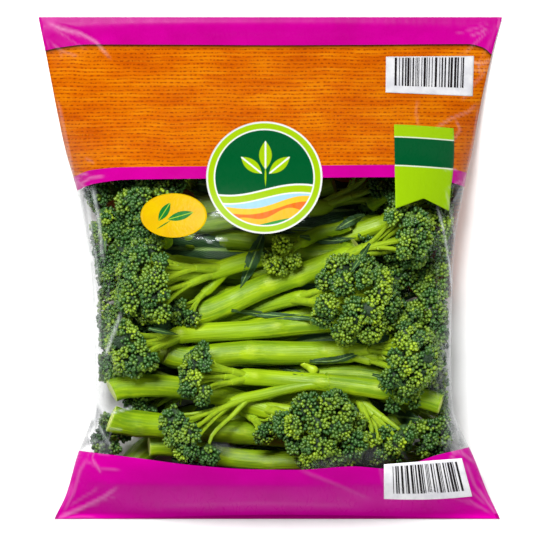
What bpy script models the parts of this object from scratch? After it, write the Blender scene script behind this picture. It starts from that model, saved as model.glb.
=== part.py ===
"""Bunch of broccolini in a clear pillow bag, lying on its back.

Metres, +Z up. The origin is on the surface that the bag lies on, under the
middle of the bag. +X runs across the bag, along the stems. +Y runs up the bag,
from its bottom seal to its top seal. +Z points out of the front of the bag.

Every shoot is one grown piece: a cut stem that swells into a flower head, with
small side heads on some. The shoots are laid in head to tail, in layers, and
then settled: each keeps its place in the plan, bends a little, and is pushed
clear of its neighbours and of the film. The film is two thin sheets, sealed
together along the top and the bottom and folded at the sides.
"""

import math

import bmesh
import bpy
import numpy as np

# ---------------------------------------------------------------- dimensions
GRID = 0.0006  # one plan unit: the layout below is drawn on a 0.6 mm grid
PLAN_X, PLAN_Y = 270.25, 268.0  # plan units of the origin; plan y runs downwards
EYE = 1.6  # the plan is drawn as seen from this height over the middle

CROWN = 0.085  # height of the filled bag over its middle
FILM = 0.0007  # thickness of each sheet as modelled
FOLD = 0.024  # height of the side folds where the bag is full
FLAT = 0.70  # share of the width over which the back lies flat on the surface
SEAL_GAP = 0.0003  # between the two sheets where they are sealed
CLEAR = 0.0006  # the least gap between two shoots
SKIN = 0.0005  # by which the solids stay inside the settled lines' radii, to keep a gap
FILM_CLEAR = 0.0020  # between a shoot and the film

# Outline of the bag in plan units: y, left edge, right edge
OUTLINE = (
    (17, 38.5, 502.0), (50, 45.0, 493.0), (116, 57.5, 479.0), (154, 65.7, 472.5),
    (177, 72.5, 467.0), (191, 76.4, 464.5), (236, 85.0, 456.0), (267, 90.0, 453.5),
    (313, 93.0, 452.0), (351, 94.5, 451.5), (384, 95.0, 452.0), (405, 94.0, 454.0),
    (420, 90.0, 458.0), (441, 81.5, 467.5), (451, 77.5, 472.5), (494, 65.5, 489.0),
    (519, 54.4, 500.0),
)
# Height of the film over the bag's middle line, as a share of CROWN: plan y, share
RISE = (
    (17, 0.000), (23, 0.006), (40, 0.075), (70, 0.23), (105, 0.44), (140, 0.655), (170, 0.83),
    (200, 0.935), (240, 0.985), (290, 1.0), (350, 1.0), (400, 0.975), (430, 0.93),
    (455, 0.83), (475, 0.66), (492, 0.42), (504, 0.19), (511, 0.055), (515, 0.006), (519, 0.000),
)

# Each shoot: name, layer (or its layers at the cut end and at the head), the
# plan points of its line from cut end to the middle of its head, stem radius
# at the cut and under the head, head radius (mm), and side heads (where they
# leave the line from 0 to 1, plan points, radius of the branch, radius of the
# head).
SHOOTS = (
    # ---- top layers, where the front of the bag shows them
    ("shoot_01", 5, ((452, 409), (385, 397), (318, 386), (262, 380), (206, 377)), 5.9, 3.8, 14.5,
     ((0.50, ((300, 390), (258, 399), (226, 406), (197, 430)), 3.2, 17.5),)),
    ("shoot_02", (3, 5), ((192, 320), (222, 306), (268, 284), (330, 263), (402, 243)), 7.6, 6.0, 18.5, ()),
    ("shoot_03", (2, 5), ((190, 330), (220, 316), (265, 304), (318, 297), (371, 306)), 5.2, 4.0, 23.5, ()),
    ("shoot_04", (3, 5), ((372, 247), (330, 253), (280, 259), (225, 271), (155, 283)), 5.7, 4.9, 21.5,
     ((0.68, ((222, 277), (206, 293), (189, 311)), 2.4, 9.5),)),
    ("shoot_05", 3, ((372, 272), (320, 277), (260, 274), (190, 266), (121, 263)), 5.9, 4.7, 18.5, ()),
    ("shoot_06", (3, 4), ((372, 318), (335, 323), (275, 328), (205, 335), (135, 347)), 6.2, 5.2, 16.0, ()),
    ("shoot_07", 4, ((160, 359), (225, 356), (290, 355), (350, 354), (415, 361)), 7.6, 6.3, 19.0, ()),
    ("shoot_08", 3, ((400, 372), (345, 373), (280, 376), (215, 383), (151, 395)), 5.9, 4.7, 17.0, ()),
    ("shoot_09", (3, 5), ((103, 386), (160, 388), (222, 398), (280, 416), (341, 426)), 7.0, 5.6, 22.5,
     ((0.60, ((228, 406), (246, 416), (262, 431)), 2.3, 9.0),)),
    ("shoot_10", 3, ((97, 426), (170, 426), (245, 431), (330, 438), (416, 440)), 7.9, 5.2, 18.0, ()),
    ("shoot_11", 2, ((104, 448), (165, 434), (240, 417), (325, 405), (415, 400)), 6.8, 4.9, 15.0, ()),
    ("shoot_12", 4, ((146, 450), (205, 458), (262, 464), (318, 466), (376, 462)), 6.9, 5.2, 12.5, ()),
    ("shoot_13", 5, ((352, 228), (325, 234), (303, 242), (281, 257)), 3.9, 3.4, 10.5, ()),
    ("shoot_14", 3, ((190, 224), (240, 215), (290, 208), (335, 204), (378, 203)), 5.9, 4.9, 16.5, ()),
    ("shoot_15", 3, ((345, 190), (300, 194), (245, 200), (195, 205), (150, 207)), 5.9, 4.9, 17.0, ()),
    ("shoot_16", 2, ((190, 345), (245, 338), (310, 330), (370, 322), (428, 310)), 5.9, 4.7, 14.5, ()),
    # ---- lower layers
    ("shoot_17", (1, 3), ((150, 236), (210, 240), (285, 240), (355, 236), (424, 230)), 6.4, 5.4, 16.5, ()),
    ("shoot_18", (1, 2), ((380, 240), (320, 238), (250, 232), (180, 224), (114, 216)), 6.2, 5.2, 15.5, ()),
    ("shoot_19", (1, 2), ((380, 300), (320, 300), (250, 298), (180, 298), (117, 307)), 6.2, 5.2, 15.0, ()),
    ("shoot_20", (1, 2), ((160, 280), (220, 284), (290, 286), (360, 286), (430, 275)), 6.2, 5.2, 16.5, ()),
    ("shoot_21", 1, ((385, 345), (320, 346), (250, 346), (180, 350), (116, 358)), 6.4, 5.2, 14.5, ()),
    ("shoot_22", 1, ((160, 330), (220, 334), (290, 338), (360, 342), (430, 347)), 6.4, 5.2, 14.0, ()),
    ("shoot_23", 1, ((385, 405), (330, 404), (260, 402), (190, 404), (124, 407)), 6.2, 4.9, 13.5, ()),
    ("shoot_24", 1, ((170, 378), (230, 380), (300, 384), (365, 390), (428, 392)), 6.2, 4.9, 13.5, ()),
    ("shoot_25", 1, ((380, 452), (320, 454), (250, 452), (190, 448), (135, 440)), 6.2, 4.9, 13.5, ()),
    ("shoot_26", 0, ((330, 205), (270, 206), (215, 200), (165, 196)), 5.9, 4.9, 14.0, ()),
    ("shoot_27", 0, ((200, 256), (260, 258), (320, 254), (374, 247)), 5.8, 4.6, 12.5, ()),
    ("shoot_28", 0, ((345, 320), (280, 320), (220, 316), (164, 312)), 5.8, 4.6, 12.5, ()),
    ("shoot_29", 0, ((195, 362), (255, 362), (320, 360), (380, 352)), 6.2, 4.9, 13.0, ()),
    ("shoot_30", 0, ((200, 430), (260, 434), (320, 434), (380, 428)), 6.2, 4.9, 13.0, ()),
)


# ---------------------------------------------------------------- the bag
def smooth_table(rows, column):
    """A curve through a table's points, as monotone cubic pieces."""
    x = np.array([r[0] for r in rows], float)
    y = np.array([r[column] for r in rows], float)
    h, d = np.diff(x), np.diff(y) / np.diff(x)
    m = np.zeros(len(x))
    for i in range(1, len(x) - 1):
        if d[i - 1] * d[i] > 0:
            w1, w2 = 2 * h[i] + h[i - 1], h[i] + 2 * h[i - 1]
            m[i] = (w1 + w2) / (w1 / d[i - 1] + w2 / d[i])
    m[0], m[-1] = d[0], d[-1]

    def curve(t):
        t = np.clip(np.asarray(t, float), x[0], x[-1])
        i = np.clip(np.searchsorted(x, t, side="right") - 1, 0, len(x) - 2)
        u = (t - x[i]) / h[i]
        return (
            y[i] * (1 + 2 * u) * (1 - u) ** 2 + m[i] * h[i] * u * (1 - u) ** 2
            + y[i + 1] * u * u * (3 - 2 * u) - m[i + 1] * h[i] * u * u * (1 - u)
        )

    return curve


left_edge, right_edge = smooth_table(OUTLINE, 1), smooth_table(OUTLINE, 2)
rise = smooth_table(RISE, 1)


def plan_y(y):
    return PLAN_Y - np.asarray(y, float) / GRID


def half_width(y):
    """Half the bag's width at y."""
    p = plan_y(y)
    return (right_edge(p) - left_edge(p)) / 2 * GRID * (1 - 0.018 * rise(p))


def middle(y):
    p = plan_y(y)
    return ((right_edge(p) + left_edge(p)) / 2 - PLAN_X) * GRID


def crown(y):
    return CROWN * rise(plan_y(y))


def across(x, y):
    """0 on the bag's middle line, 1 at its side folds."""
    return np.clip(np.abs(x - middle(y)) / half_width(y), 0, 1)


def fold_height(y):
    """Height of the side folds, where the bag bulges out over the surface."""
    return FOLD * np.clip(rise(plan_y(y)), 0, 1) ** 1.2


def back_height(x, y):
    """Upper side of the back sheet: flat on the surface, and curling up to the side folds."""
    t = np.clip((across(x, y) - FLAT) / (1 - FLAT), 0, 1)
    return FILM + fold_height(y) * (1 - np.sqrt(1 - t * t * 0.96)) / 0.8


def film_height(x, y):
    """Underside of the front sheet over the plan point x, y."""
    t = across(x, y)
    full = np.clip(rise(plan_y(y)), 0, 1) ** 1.3
    up = (1 - t ** (2 + 1.4 * full)) ** (1.0 - 0.56 * full)
    fold = fold_height(y)
    return FILM + SEAL_GAP + fold + (crown(y) - fold) * up


# ---------------------------------------------------------------- the shoots
def through(points, n):
    """n points evenly along a smooth curve through these points."""
    p = np.array(points, float)
    ext = np.vstack([2 * p[0] - p[1], p, 2 * p[-1] - p[-2]])
    out = []
    for i in range(1, len(ext) - 2):
        a, b, c, d = ext[i - 1], ext[i], ext[i + 1], ext[i + 2]
        for t in np.linspace(0, 1, 24, endpoint=False):
            out.append(0.5 * (2 * b + (c - a) * t + (2 * a - 5 * b + 4 * c - d) * t**2
                              + (3 * b - a - 3 * c + d) * t**3))
    out = np.array(out + [p[-1]])
    s = np.concatenate([[0], np.cumsum(np.sqrt(((out[1:] - out[:-1]) ** 2).sum(1)))])
    u = np.linspace(0, s[-1], n)
    return np.stack([np.interp(u, s, out[:, k]) for k in range(out.shape[1])], 1), s[-1]


def to_metres(points, z):
    p = np.array(points, float)
    k = GRID * (EYE - z) / EYE
    return np.stack([(p[:, 0] - PLAN_X) * k, (PLAN_Y - p[:, 1]) * k, np.full(len(p), z)], 1)


def radii(n, length, cut, neck, head):
    """Radius along a shoot's line: stem, then a head that swells to a ball round the last point."""
    s = np.linspace(0, length, n)
    flare = 1.75 * head  # how far before the head's middle the branches leave the stem
    t = np.clip((s - (length - flare)) / flare, 0, 1)
    stem = cut + (neck - cut) * np.clip(s / (length - flare), 0, 1)
    return stem + (head - stem) * (t * t * (3 - 2 * t)) ** 0.9


STEP = 0.005


def make_chains():
    """Every stem line as points with radii: its shoot, its layer, and where a side branch joins."""
    chains = []
    for k, (name, layer, points, cut, neck, head, sides) in enumerate(SHOOTS):
        first, last = layer if isinstance(layer, tuple) else (layer, layer)
        line = to_metres(points, 0.016 + 0.0115 * (first + last) / 2)
        _, length = through(line, 8)
        n = int(round(length / STEP)) + 1
        line, length = through(line, n)
        layer = np.linspace(first, last, n)
        line[:, 2] = 0.016 + 0.0115 * layer
        main = {"shoot": k, "layer": layer, "p": line, "r": radii(n, length, cut / 1e3, neck / 1e3, head / 1e3),
                "root": None, "head": head / 1e3}
        chains.append(main)
        at = len(chains) - 1
        for where, pts, branch, small in sides:
            j = int(round(where * (n - 1)))
            side = np.vstack([line[j], to_metres(pts, line[j, 2] + 0.002)])
            _, length = through(side, 8)
            m = max(6, int(round(length / STEP)) + 1)
            side, length = through(side, m)
            chains.append({"shoot": k, "layer": np.full(m, layer[j]), "p": side,
                           "r": radii(m, length, branch / 1e3, branch / 1e3, small / 1e3),
                           "root": (at, j), "head": small / 1e3})
    return chains


def settle(chains, rounds=800):
    """Pushes the shoots clear of each other and of the film. Each line stays a smooth curve."""
    start = np.cumsum([0] + [len(c["p"]) for c in chains])
    P = np.vstack([c["p"] for c in chains])
    R = np.concatenate([c["r"] for c in chains])
    S = np.concatenate([np.full(len(c["p"]), c["shoot"]) for c in chains])
    L = np.concatenate([c["layer"] for c in chains])
    home = P.copy()
    fits = []
    for c in chains:
        t = np.linspace(-1, 1, len(c["p"]))
        both = []
        for order in (4, 6, 2, 5):  # plan before and after, height before and after
            basis = np.stack([t**k for k in range(order)], 1)
            both.append(np.round(basis @ np.linalg.pinv(basis), 10))
        fits.append((*both, c["p"] - both[0] @ c["p"], c["p"] - both[1] @ c["p"]))
    hold = np.where(L >= 3, 0.060, 0.010)[:, None]
    pairs = None
    for step in range(rounds):
        late = step / rounds
        if step % 12 == 0:
            reach = 0.006
            order = np.argsort(P[:, 0], kind="stable")
            I, J = [], []
            X = P[order, 0]
            widest = 2 * R.max() + CLEAR + reach
            end = np.searchsorted(X, X + widest, side="right")
            for a in range(len(order)):
                b = order[a + 1:end[a]]
                i = order[a]
                b = b[S[b] != S[i]]
                d = P[b] - P[i]
                near = (d * d).sum(1) < (R[b] + R[i] + CLEAR + reach) ** 2
                b = b[near]
                I.append(np.full(len(b), i))
                J.append(b)
            pairs = np.concatenate(I), np.concatenate(J)
        I, J = pairs
        move, count = np.zeros_like(P), np.zeros(len(P))
        d = P[J] - P[I]
        dist = np.sqrt((d * d).sum(1)) + 1e-9
        over = R[I] + R[J] + CLEAR - dist
        hit = over > 0
        i, j, d, dist, over = I[hit], J[hit], d[hit], dist[hit], over[hit]
        n = d / dist[:, None]
        # layers pass over each other: a contact is turned towards the vertical by rank
        rank = np.sign(L[j] - L[i])
        n[:, 2] += 0.45 * rank * (1 - late)
        n /= np.sqrt((n * n).sum(1))[:, None]
        push = 0.5 * over[:, None] * n
        np.add.at(move, i, -push)
        np.add.at(move, j, push)
        np.add.at(count, i, 1)
        np.add.at(count, j, 1)
        P = P + move / np.maximum(count, 1)[:, None] ** 0.55
        # down under gravity, and back towards the drawn place
        P[:, 2] -= 0.00022 * (1 - late)
        P[:, :2] += hold * (home[:, :2] - P[:, :2]) * (1 - 0.9 * late)
        for _ in range(2):
            inside(P, R)
        P = np.round(P, 9)
        for c, (a, b) in enumerate(zip(start[:-1], start[1:])):
            loose = late > 0.62  # a stem gives a little more once the pile has settled
            q = fits[c][loose] @ P[a:b] + fits[c][4 + loose]
            q[:, 2] = fits[c][2 + loose] @ P[a:b, 2]
            mix = 0.8 if late < 0.9 else 0.5
            P[a:b] += mix * (q - P[a:b])
            root = chains[c]["root"]
            if root is not None:
                src = start[root[0]] + root[1]
                w = np.clip(1 - np.arange(b - a) / 5.0, 0, 1)[:, None]
                P[a:b] += (P[src] - P[a]) * w
        P = np.round(P, 8)
    i, j = pairs
    d = P[j] - P[i]
    worst = (R[i] + R[j] - np.sqrt((d * d).sum(1))).max()
    print("deepest overlap left, mm:", round(worst * 1e3, 3))
    for c, (a, b) in zip(chains, zip(start[:-1], start[1:])):
        c["p"] = P[a:b]
    return chains


ROUND = np.array([(0, 0, 1)] + [(math.sin(e) * math.cos(a), math.sin(e) * math.sin(a), math.cos(e))
                               for e in (math.radians(38), math.radians(68))
                               for a in np.arange(8) * math.pi / 4 + (e > 1) * math.pi / 8])


def inside(P, R):
    """Keeps every ball over the back sheet and under the front sheet."""
    y = P[:, 1]
    side = np.maximum(half_width(y) - R - FILM_CLEAR, 0.004)
    mid = middle(y)
    P[:, 0] = mid + np.clip(P[:, 0] - mid, -side, side)
    k = np.nonzero(film_height(P[:, 0], y) - P[:, 2] < 2.2 * R + 0.008)[0]
    q = P[k, None, :] + R[k, None, None] * ROUND[None]
    x, v, z = q[..., 0], q[..., 1], q[..., 2]
    deep = z + FILM_CLEAR - film_height(x, v)
    worst = deep.argmax(1)
    at = np.arange(len(k))
    x, v, depth = x[at, worst], v[at, worst], deep[at, worst]
    on = depth > 0
    k, x, v, depth = k[on], x[on], v[on], depth[on]
    e = 0.0008
    sx = (film_height(x + e, v) - film_height(x - e, v)) / (2 * e)
    sy = (film_height(x, v + e) - film_height(x, v - e)) / (2 * e)
    steep = np.sqrt(1 + sx**2 + sy**2)
    n = np.stack([-sx, -sy, np.ones_like(sx)], 1) / steep[:, None]
    P[k] -= np.minimum(depth / steep, 0.004)[:, None] * n
    outward = np.sign(P[:, 0] - mid)
    for a in (0.0, 0.4, 0.8, 1.2):
        low = back_height(P[:, 0] + outward * R * math.sin(a), P[:, 1]) + 0.0014
        P[:, 2] = np.maximum(P[:, 2], low + R * math.cos(a))


# ---------------------------------------------------------------- meshes
def tube(line, radius, sides, name):
    """A closed body of round sections along a line, with a flat cut end and a domed head."""
    p = np.array(line)
    t = np.gradient(p, axis=0)
    t /= np.sqrt((t * t).sum(1))[:, None]
    up = np.array([0, 0, 1.0])
    rings = []
    for k in range(len(p)):
        side = np.cross(up, t[k])
        side /= np.linalg.norm(side)
        top = np.cross(t[k], side)
        a = np.arange(sides) * 2 * math.pi / sides
        rings.append(p[k] + radius[k] * (np.cos(a)[:, None] * side + np.sin(a)[:, None] * top))
    bm = bmesh.new()
    loops = [[bm.verts.new(v) for v in ring] for ring in rings]
    for one, two in zip(loops[:-1], loops[1:]):
        for k in range(sides):
            m = (k + 1) % sides
            bm.faces.new((one[k], one[m], two[m], two[k]))
    bm.faces.new(loops[0][::-1])
    bm.faces.new(loops[-1])
    bmesh.ops.recalc_face_normals(bm, faces=bm.faces)
    mesh = bpy.data.meshes.new(name)
    bm.to_mesh(mesh)
    bm.free()
    return mesh


def body_line(chain, shrink):
    """The chain thinned to fewer sections, with a dome past the head's middle."""
    p, r = chain["p"], chain["r"] - shrink
    n = len(p)
    stem_end = n - 1 - int(round(1.75 * chain["head"] / STEP))
    keep = sorted(set(list(np.linspace(0, max(stem_end, 1), 11).round().astype(int)) +
                      list(np.linspace(max(stem_end, 1), n - 1, 8).round().astype(int))))
    axis = p[-1] - p[-3]
    axis /= np.linalg.norm(axis)
    line, rad = [p[k] for k in keep], [r[k] for k in keep]
    for a in (32, 62, 84):
        a = math.radians(a)
        line.append(p[-1] + axis * r[-1] * math.sin(a))
        rad.append(r[-1] * math.cos(a))
    return np.array(line), np.array(rad)


def material(name, colour, roughness, alpha=1.0):
    m = bpy.data.materials.new(name)
    m.use_nodes = True
    shader = m.node_tree.nodes["Principled BSDF"]
    shader.inputs["Base Color"].default_value = (*colour, 1)
    shader.inputs["Roughness"].default_value = roughness
    shader.inputs["Metallic"].default_value = 0.0
    shader.inputs["Alpha"].default_value = alpha
    return m


def add(name, mesh, mat):
    o = bpy.data.objects.new(name, mesh)
    bpy.context.scene.collection.objects.link(o)
    mesh.materials.append(mat)
    mesh.shade_smooth()
    mesh.set_sharp_from_angle(angle=math.radians(40))
    return o


def shoots():
    green = material("shoot_green", (0.13, 0.27, 0.035), 0.45)
    made = {}
    for chain in settle(make_chains()):
        name = SHOOTS[chain["shoot"]][0]
        line, rad = body_line(chain, SKIN)
        if chain["root"] is None:
            made[name] = add(name, tube(line, rad, 10, name), green)
            continue
        branch = add(name + "_side", tube(line, rad, 8, name + "_side"), green)
        branch.hide_render = True
        branch.display_type = "WIRE"
        join = made[name].modifiers.new("side_head", "BOOLEAN")
        join.operation = "UNION"
        join.object = branch
    return made


def sheet(name, over, under, mat, nx, ny):
    """A closed thin sheet between two height functions over the bag's plan."""
    ys = [(PLAN_Y - p) * GRID for p in np.interp(
        np.linspace(0, 1, ny), np.linspace(0, 1, 15),
        (17, 30, 60, 95, 130, 160, 190, 230, 290, 360, 410, 445, 475, 500, 519))]
    bm = bmesh.new()
    grid = []
    for height in (over, under):
        rows = []
        for y in ys:
            u = np.sin(np.linspace(-1, 1, nx) * math.pi / 2 * 0.94) / math.sin(math.pi / 2 * 0.94)
            x = middle(y) + half_width(y) * u
            z = height(x, np.full(nx, y))
            rows.append([bm.verts.new((float(a), float(y), float(b))) for a, b in zip(x, z)])
        grid.append(rows)
    top, low = grid
    for j in range(ny - 1):
        for i in range(nx - 1):
            bm.faces.new((top[j][i], top[j][i + 1], top[j + 1][i + 1], top[j + 1][i]))
            bm.faces.new((low[j][i], low[j + 1][i], low[j + 1][i + 1], low[j][i + 1]))
    rim = ([(0, i) for i in range(nx)] + [(j, nx - 1) for j in range(1, ny)]
           + [(ny - 1, i) for i in range(nx - 2, -1, -1)] + [(j, 0) for j in range(ny - 2, 0, -1)])
    for (a, b), (c, d) in zip(rim, rim[1:] + rim[:1]):
        bm.faces.new((top[a][b], top[c][d], low[c][d], low[a][b]))
    bmesh.ops.recalc_face_normals(bm, faces=bm.faces)
    mesh = bpy.data.meshes.new(name)
    bm.to_mesh(mesh)
    bm.free()
    return add(name, mesh, mat)


def bag():
    clear = material("clear_film", (0.92, 0.94, 0.95), 0.12, 0.3)
    sheet("front_film", lambda x, y: film_height(x, y) + FILM, film_height, clear, 25, 29)
    sheet("back_film", back_height, lambda x, y: back_height(x, y) - FILM, clear, 21, 25)


def main():
    for o in list(bpy.data.objects):
        bpy.data.objects.remove(o)
    shoots()
    bag()


main()
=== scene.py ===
"""The looks of a bunch of broccolini in a clear pillow bag that lies on its back.

The shoots are laid out and settled here by the same rule as in the solid model,
so every stem and flower head lies where its solid lies. Around those lines this
script grows the stems, branches, flower buds and leaves, and then draws the
film over them.
"""

import math

import bpy
import numpy as np
from mathutils import Matrix, Vector


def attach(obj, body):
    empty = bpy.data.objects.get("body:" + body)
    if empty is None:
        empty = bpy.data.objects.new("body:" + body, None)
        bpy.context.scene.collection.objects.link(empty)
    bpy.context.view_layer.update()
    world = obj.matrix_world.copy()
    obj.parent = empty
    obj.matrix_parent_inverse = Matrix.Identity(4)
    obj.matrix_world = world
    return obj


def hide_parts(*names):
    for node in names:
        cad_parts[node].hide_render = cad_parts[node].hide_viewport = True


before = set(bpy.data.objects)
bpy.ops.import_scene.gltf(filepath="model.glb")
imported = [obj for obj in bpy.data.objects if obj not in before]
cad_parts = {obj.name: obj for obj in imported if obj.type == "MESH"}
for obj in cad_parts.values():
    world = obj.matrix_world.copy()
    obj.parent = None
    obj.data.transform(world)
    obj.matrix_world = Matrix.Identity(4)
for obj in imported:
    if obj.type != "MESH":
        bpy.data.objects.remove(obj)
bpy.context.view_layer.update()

# ---------------------------------------------------------------- dimensions
GRID = 0.0006  # one plan unit: the layout below is drawn on a 0.6 mm grid
PLAN_X, PLAN_Y = 270.25, 268.0  # plan units of the origin; plan y runs downwards
EYE = 1.6  # the plan is drawn as seen from this height over the middle

CROWN = 0.085  # height of the filled bag over its middle
FILM = 0.0007  # thickness of each sheet as modelled
FOLD = 0.024  # height of the side folds where the bag is full
FLAT = 0.70  # share of the width over which the back lies flat on the surface
SEAL_GAP = 0.0003  # between the two sheets where they are sealed
CLEAR = 0.0006  # the least gap between two shoots
SKIN = 0.0005  # by which the solids stay inside the settled lines' radii, to keep a gap
FILM_CLEAR = 0.0020  # between a shoot and the film

# Outline of the bag in plan units: y, left edge, right edge
OUTLINE = (
    (17, 38.5, 502.0), (50, 45.0, 493.0), (116, 57.5, 479.0), (154, 65.7, 472.5),
    (177, 72.5, 467.0), (191, 76.4, 464.5), (236, 85.0, 456.0), (267, 90.0, 453.5),
    (313, 93.0, 452.0), (351, 94.5, 451.5), (384, 95.0, 452.0), (405, 94.0, 454.0),
    (420, 90.0, 458.0), (441, 81.5, 467.5), (451, 77.5, 472.5), (494, 65.5, 489.0),
    (519, 54.4, 500.0),
)
# Height of the film over the bag's middle line, as a share of CROWN: plan y, share
RISE = (
    (17, 0.000), (23, 0.006), (40, 0.075), (70, 0.23), (105, 0.44), (140, 0.655), (170, 0.83),
    (200, 0.935), (240, 0.985), (290, 1.0), (350, 1.0), (400, 0.975), (430, 0.93),
    (455, 0.83), (475, 0.66), (492, 0.42), (504, 0.19), (511, 0.055), (515, 0.006), (519, 0.000),
)

# Each shoot: name, layer (or its layers at the cut end and at the head), the
# plan points of its line from cut end to the middle of its head, stem radius
# at the cut and under the head, head radius (mm), and side heads (where they
# leave the line from 0 to 1, plan points, radius of the branch, radius of the
# head).
SHOOTS = (
    # ---- top layers, where the front of the bag shows them
    ("shoot_01", 5, ((452, 409), (385, 397), (318, 386), (262, 380), (206, 377)), 5.9, 3.8, 14.5,
     ((0.50, ((300, 390), (258, 399), (226, 406), (197, 430)), 3.2, 17.5),)),
    ("shoot_02", (3, 5), ((192, 320), (222, 306), (268, 284), (330, 263), (402, 243)), 7.6, 6.0, 18.5, ()),
    ("shoot_03", (2, 5), ((190, 330), (220, 316), (265, 304), (318, 297), (371, 306)), 5.2, 4.0, 23.5, ()),
    ("shoot_04", (3, 5), ((372, 247), (330, 253), (280, 259), (225, 271), (155, 283)), 5.7, 4.9, 21.5,
     ((0.68, ((222, 277), (206, 293), (189, 311)), 2.4, 9.5),)),
    ("shoot_05", 3, ((372, 272), (320, 277), (260, 274), (190, 266), (121, 263)), 5.9, 4.7, 18.5, ()),
    ("shoot_06", (3, 4), ((372, 318), (335, 323), (275, 328), (205, 335), (135, 347)), 6.2, 5.2, 16.0, ()),
    ("shoot_07", 4, ((160, 359), (225, 356), (290, 355), (350, 354), (415, 361)), 7.6, 6.3, 19.0, ()),
    ("shoot_08", 3, ((400, 372), (345, 373), (280, 376), (215, 383), (151, 395)), 5.9, 4.7, 17.0, ()),
    ("shoot_09", (3, 5), ((103, 386), (160, 388), (222, 398), (280, 416), (341, 426)), 7.0, 5.6, 22.5,
     ((0.60, ((228, 406), (246, 416), (262, 431)), 2.3, 9.0),)),
    ("shoot_10", 3, ((97, 426), (170, 426), (245, 431), (330, 438), (416, 440)), 7.9, 5.2, 18.0, ()),
    ("shoot_11", 2, ((104, 448), (165, 434), (240, 417), (325, 405), (415, 400)), 6.8, 4.9, 15.0, ()),
    ("shoot_12", 4, ((146, 450), (205, 458), (262, 464), (318, 466), (376, 462)), 6.9, 5.2, 12.5, ()),
    ("shoot_13", 5, ((352, 228), (325, 234), (303, 242), (281, 257)), 3.9, 3.4, 10.5, ()),
    ("shoot_14", 3, ((190, 224), (240, 215), (290, 208), (335, 204), (378, 203)), 5.9, 4.9, 16.5, ()),
    ("shoot_15", 3, ((345, 190), (300, 194), (245, 200), (195, 205), (150, 207)), 5.9, 4.9, 17.0, ()),
    ("shoot_16", 2, ((190, 345), (245, 338), (310, 330), (370, 322), (428, 310)), 5.9, 4.7, 14.5, ()),
    # ---- lower layers
    ("shoot_17", (1, 3), ((150, 236), (210, 240), (285, 240), (355, 236), (424, 230)), 6.4, 5.4, 16.5, ()),
    ("shoot_18", (1, 2), ((380, 240), (320, 238), (250, 232), (180, 224), (114, 216)), 6.2, 5.2, 15.5, ()),
    ("shoot_19", (1, 2), ((380, 300), (320, 300), (250, 298), (180, 298), (117, 307)), 6.2, 5.2, 15.0, ()),
    ("shoot_20", (1, 2), ((160, 280), (220, 284), (290, 286), (360, 286), (430, 275)), 6.2, 5.2, 16.5, ()),
    ("shoot_21", 1, ((385, 345), (320, 346), (250, 346), (180, 350), (116, 358)), 6.4, 5.2, 14.5, ()),
    ("shoot_22", 1, ((160, 330), (220, 334), (290, 338), (360, 342), (430, 347)), 6.4, 5.2, 14.0, ()),
    ("shoot_23", 1, ((385, 405), (330, 404), (260, 402), (190, 404), (124, 407)), 6.2, 4.9, 13.5, ()),
    ("shoot_24", 1, ((170, 378), (230, 380), (300, 384), (365, 390), (428, 392)), 6.2, 4.9, 13.5, ()),
    ("shoot_25", 1, ((380, 452), (320, 454), (250, 452), (190, 448), (135, 440)), 6.2, 4.9, 13.5, ()),
    ("shoot_26", 0, ((330, 205), (270, 206), (215, 200), (165, 196)), 5.9, 4.9, 14.0, ()),
    ("shoot_27", 0, ((200, 256), (260, 258), (320, 254), (374, 247)), 5.8, 4.6, 12.5, ()),
    ("shoot_28", 0, ((345, 320), (280, 320), (220, 316), (164, 312)), 5.8, 4.6, 12.5, ()),
    ("shoot_29", 0, ((195, 362), (255, 362), (320, 360), (380, 352)), 6.2, 4.9, 13.0, ()),
    ("shoot_30", 0, ((200, 430), (260, 434), (320, 434), (380, 428)), 6.2, 4.9, 13.0, ()),
)


# ---------------------------------------------------------------- the bag
def smooth_table(rows, column):
    """A curve through a table's points, as monotone cubic pieces."""
    x = np.array([r[0] for r in rows], float)
    y = np.array([r[column] for r in rows], float)
    h, d = np.diff(x), np.diff(y) / np.diff(x)
    m = np.zeros(len(x))
    for i in range(1, len(x) - 1):
        if d[i - 1] * d[i] > 0:
            w1, w2 = 2 * h[i] + h[i - 1], h[i] + 2 * h[i - 1]
            m[i] = (w1 + w2) / (w1 / d[i - 1] + w2 / d[i])
    m[0], m[-1] = d[0], d[-1]

    def curve(t):
        t = np.clip(np.asarray(t, float), x[0], x[-1])
        i = np.clip(np.searchsorted(x, t, side="right") - 1, 0, len(x) - 2)
        u = (t - x[i]) / h[i]
        return (
            y[i] * (1 + 2 * u) * (1 - u) ** 2 + m[i] * h[i] * u * (1 - u) ** 2
            + y[i + 1] * u * u * (3 - 2 * u) - m[i + 1] * h[i] * u * u * (1 - u)
        )

    return curve


left_edge, right_edge = smooth_table(OUTLINE, 1), smooth_table(OUTLINE, 2)
rise = smooth_table(RISE, 1)


def plan_y(y):
    return PLAN_Y - np.asarray(y, float) / GRID


def half_width(y):
    """Half the bag's width at y."""
    p = plan_y(y)
    return (right_edge(p) - left_edge(p)) / 2 * GRID * (1 - 0.018 * rise(p))


def middle(y):
    p = plan_y(y)
    return ((right_edge(p) + left_edge(p)) / 2 - PLAN_X) * GRID


def crown(y):
    return CROWN * rise(plan_y(y))


def across(x, y):
    """0 on the bag's middle line, 1 at its side folds."""
    return np.clip(np.abs(x - middle(y)) / half_width(y), 0, 1)


def fold_height(y):
    """Height of the side folds, where the bag bulges out over the surface."""
    return FOLD * np.clip(rise(plan_y(y)), 0, 1) ** 1.2


def back_height(x, y):
    """Upper side of the back sheet: flat on the surface, and curling up to the side folds."""
    t = np.clip((across(x, y) - FLAT) / (1 - FLAT), 0, 1)
    return FILM + fold_height(y) * (1 - np.sqrt(1 - t * t * 0.96)) / 0.8


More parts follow.
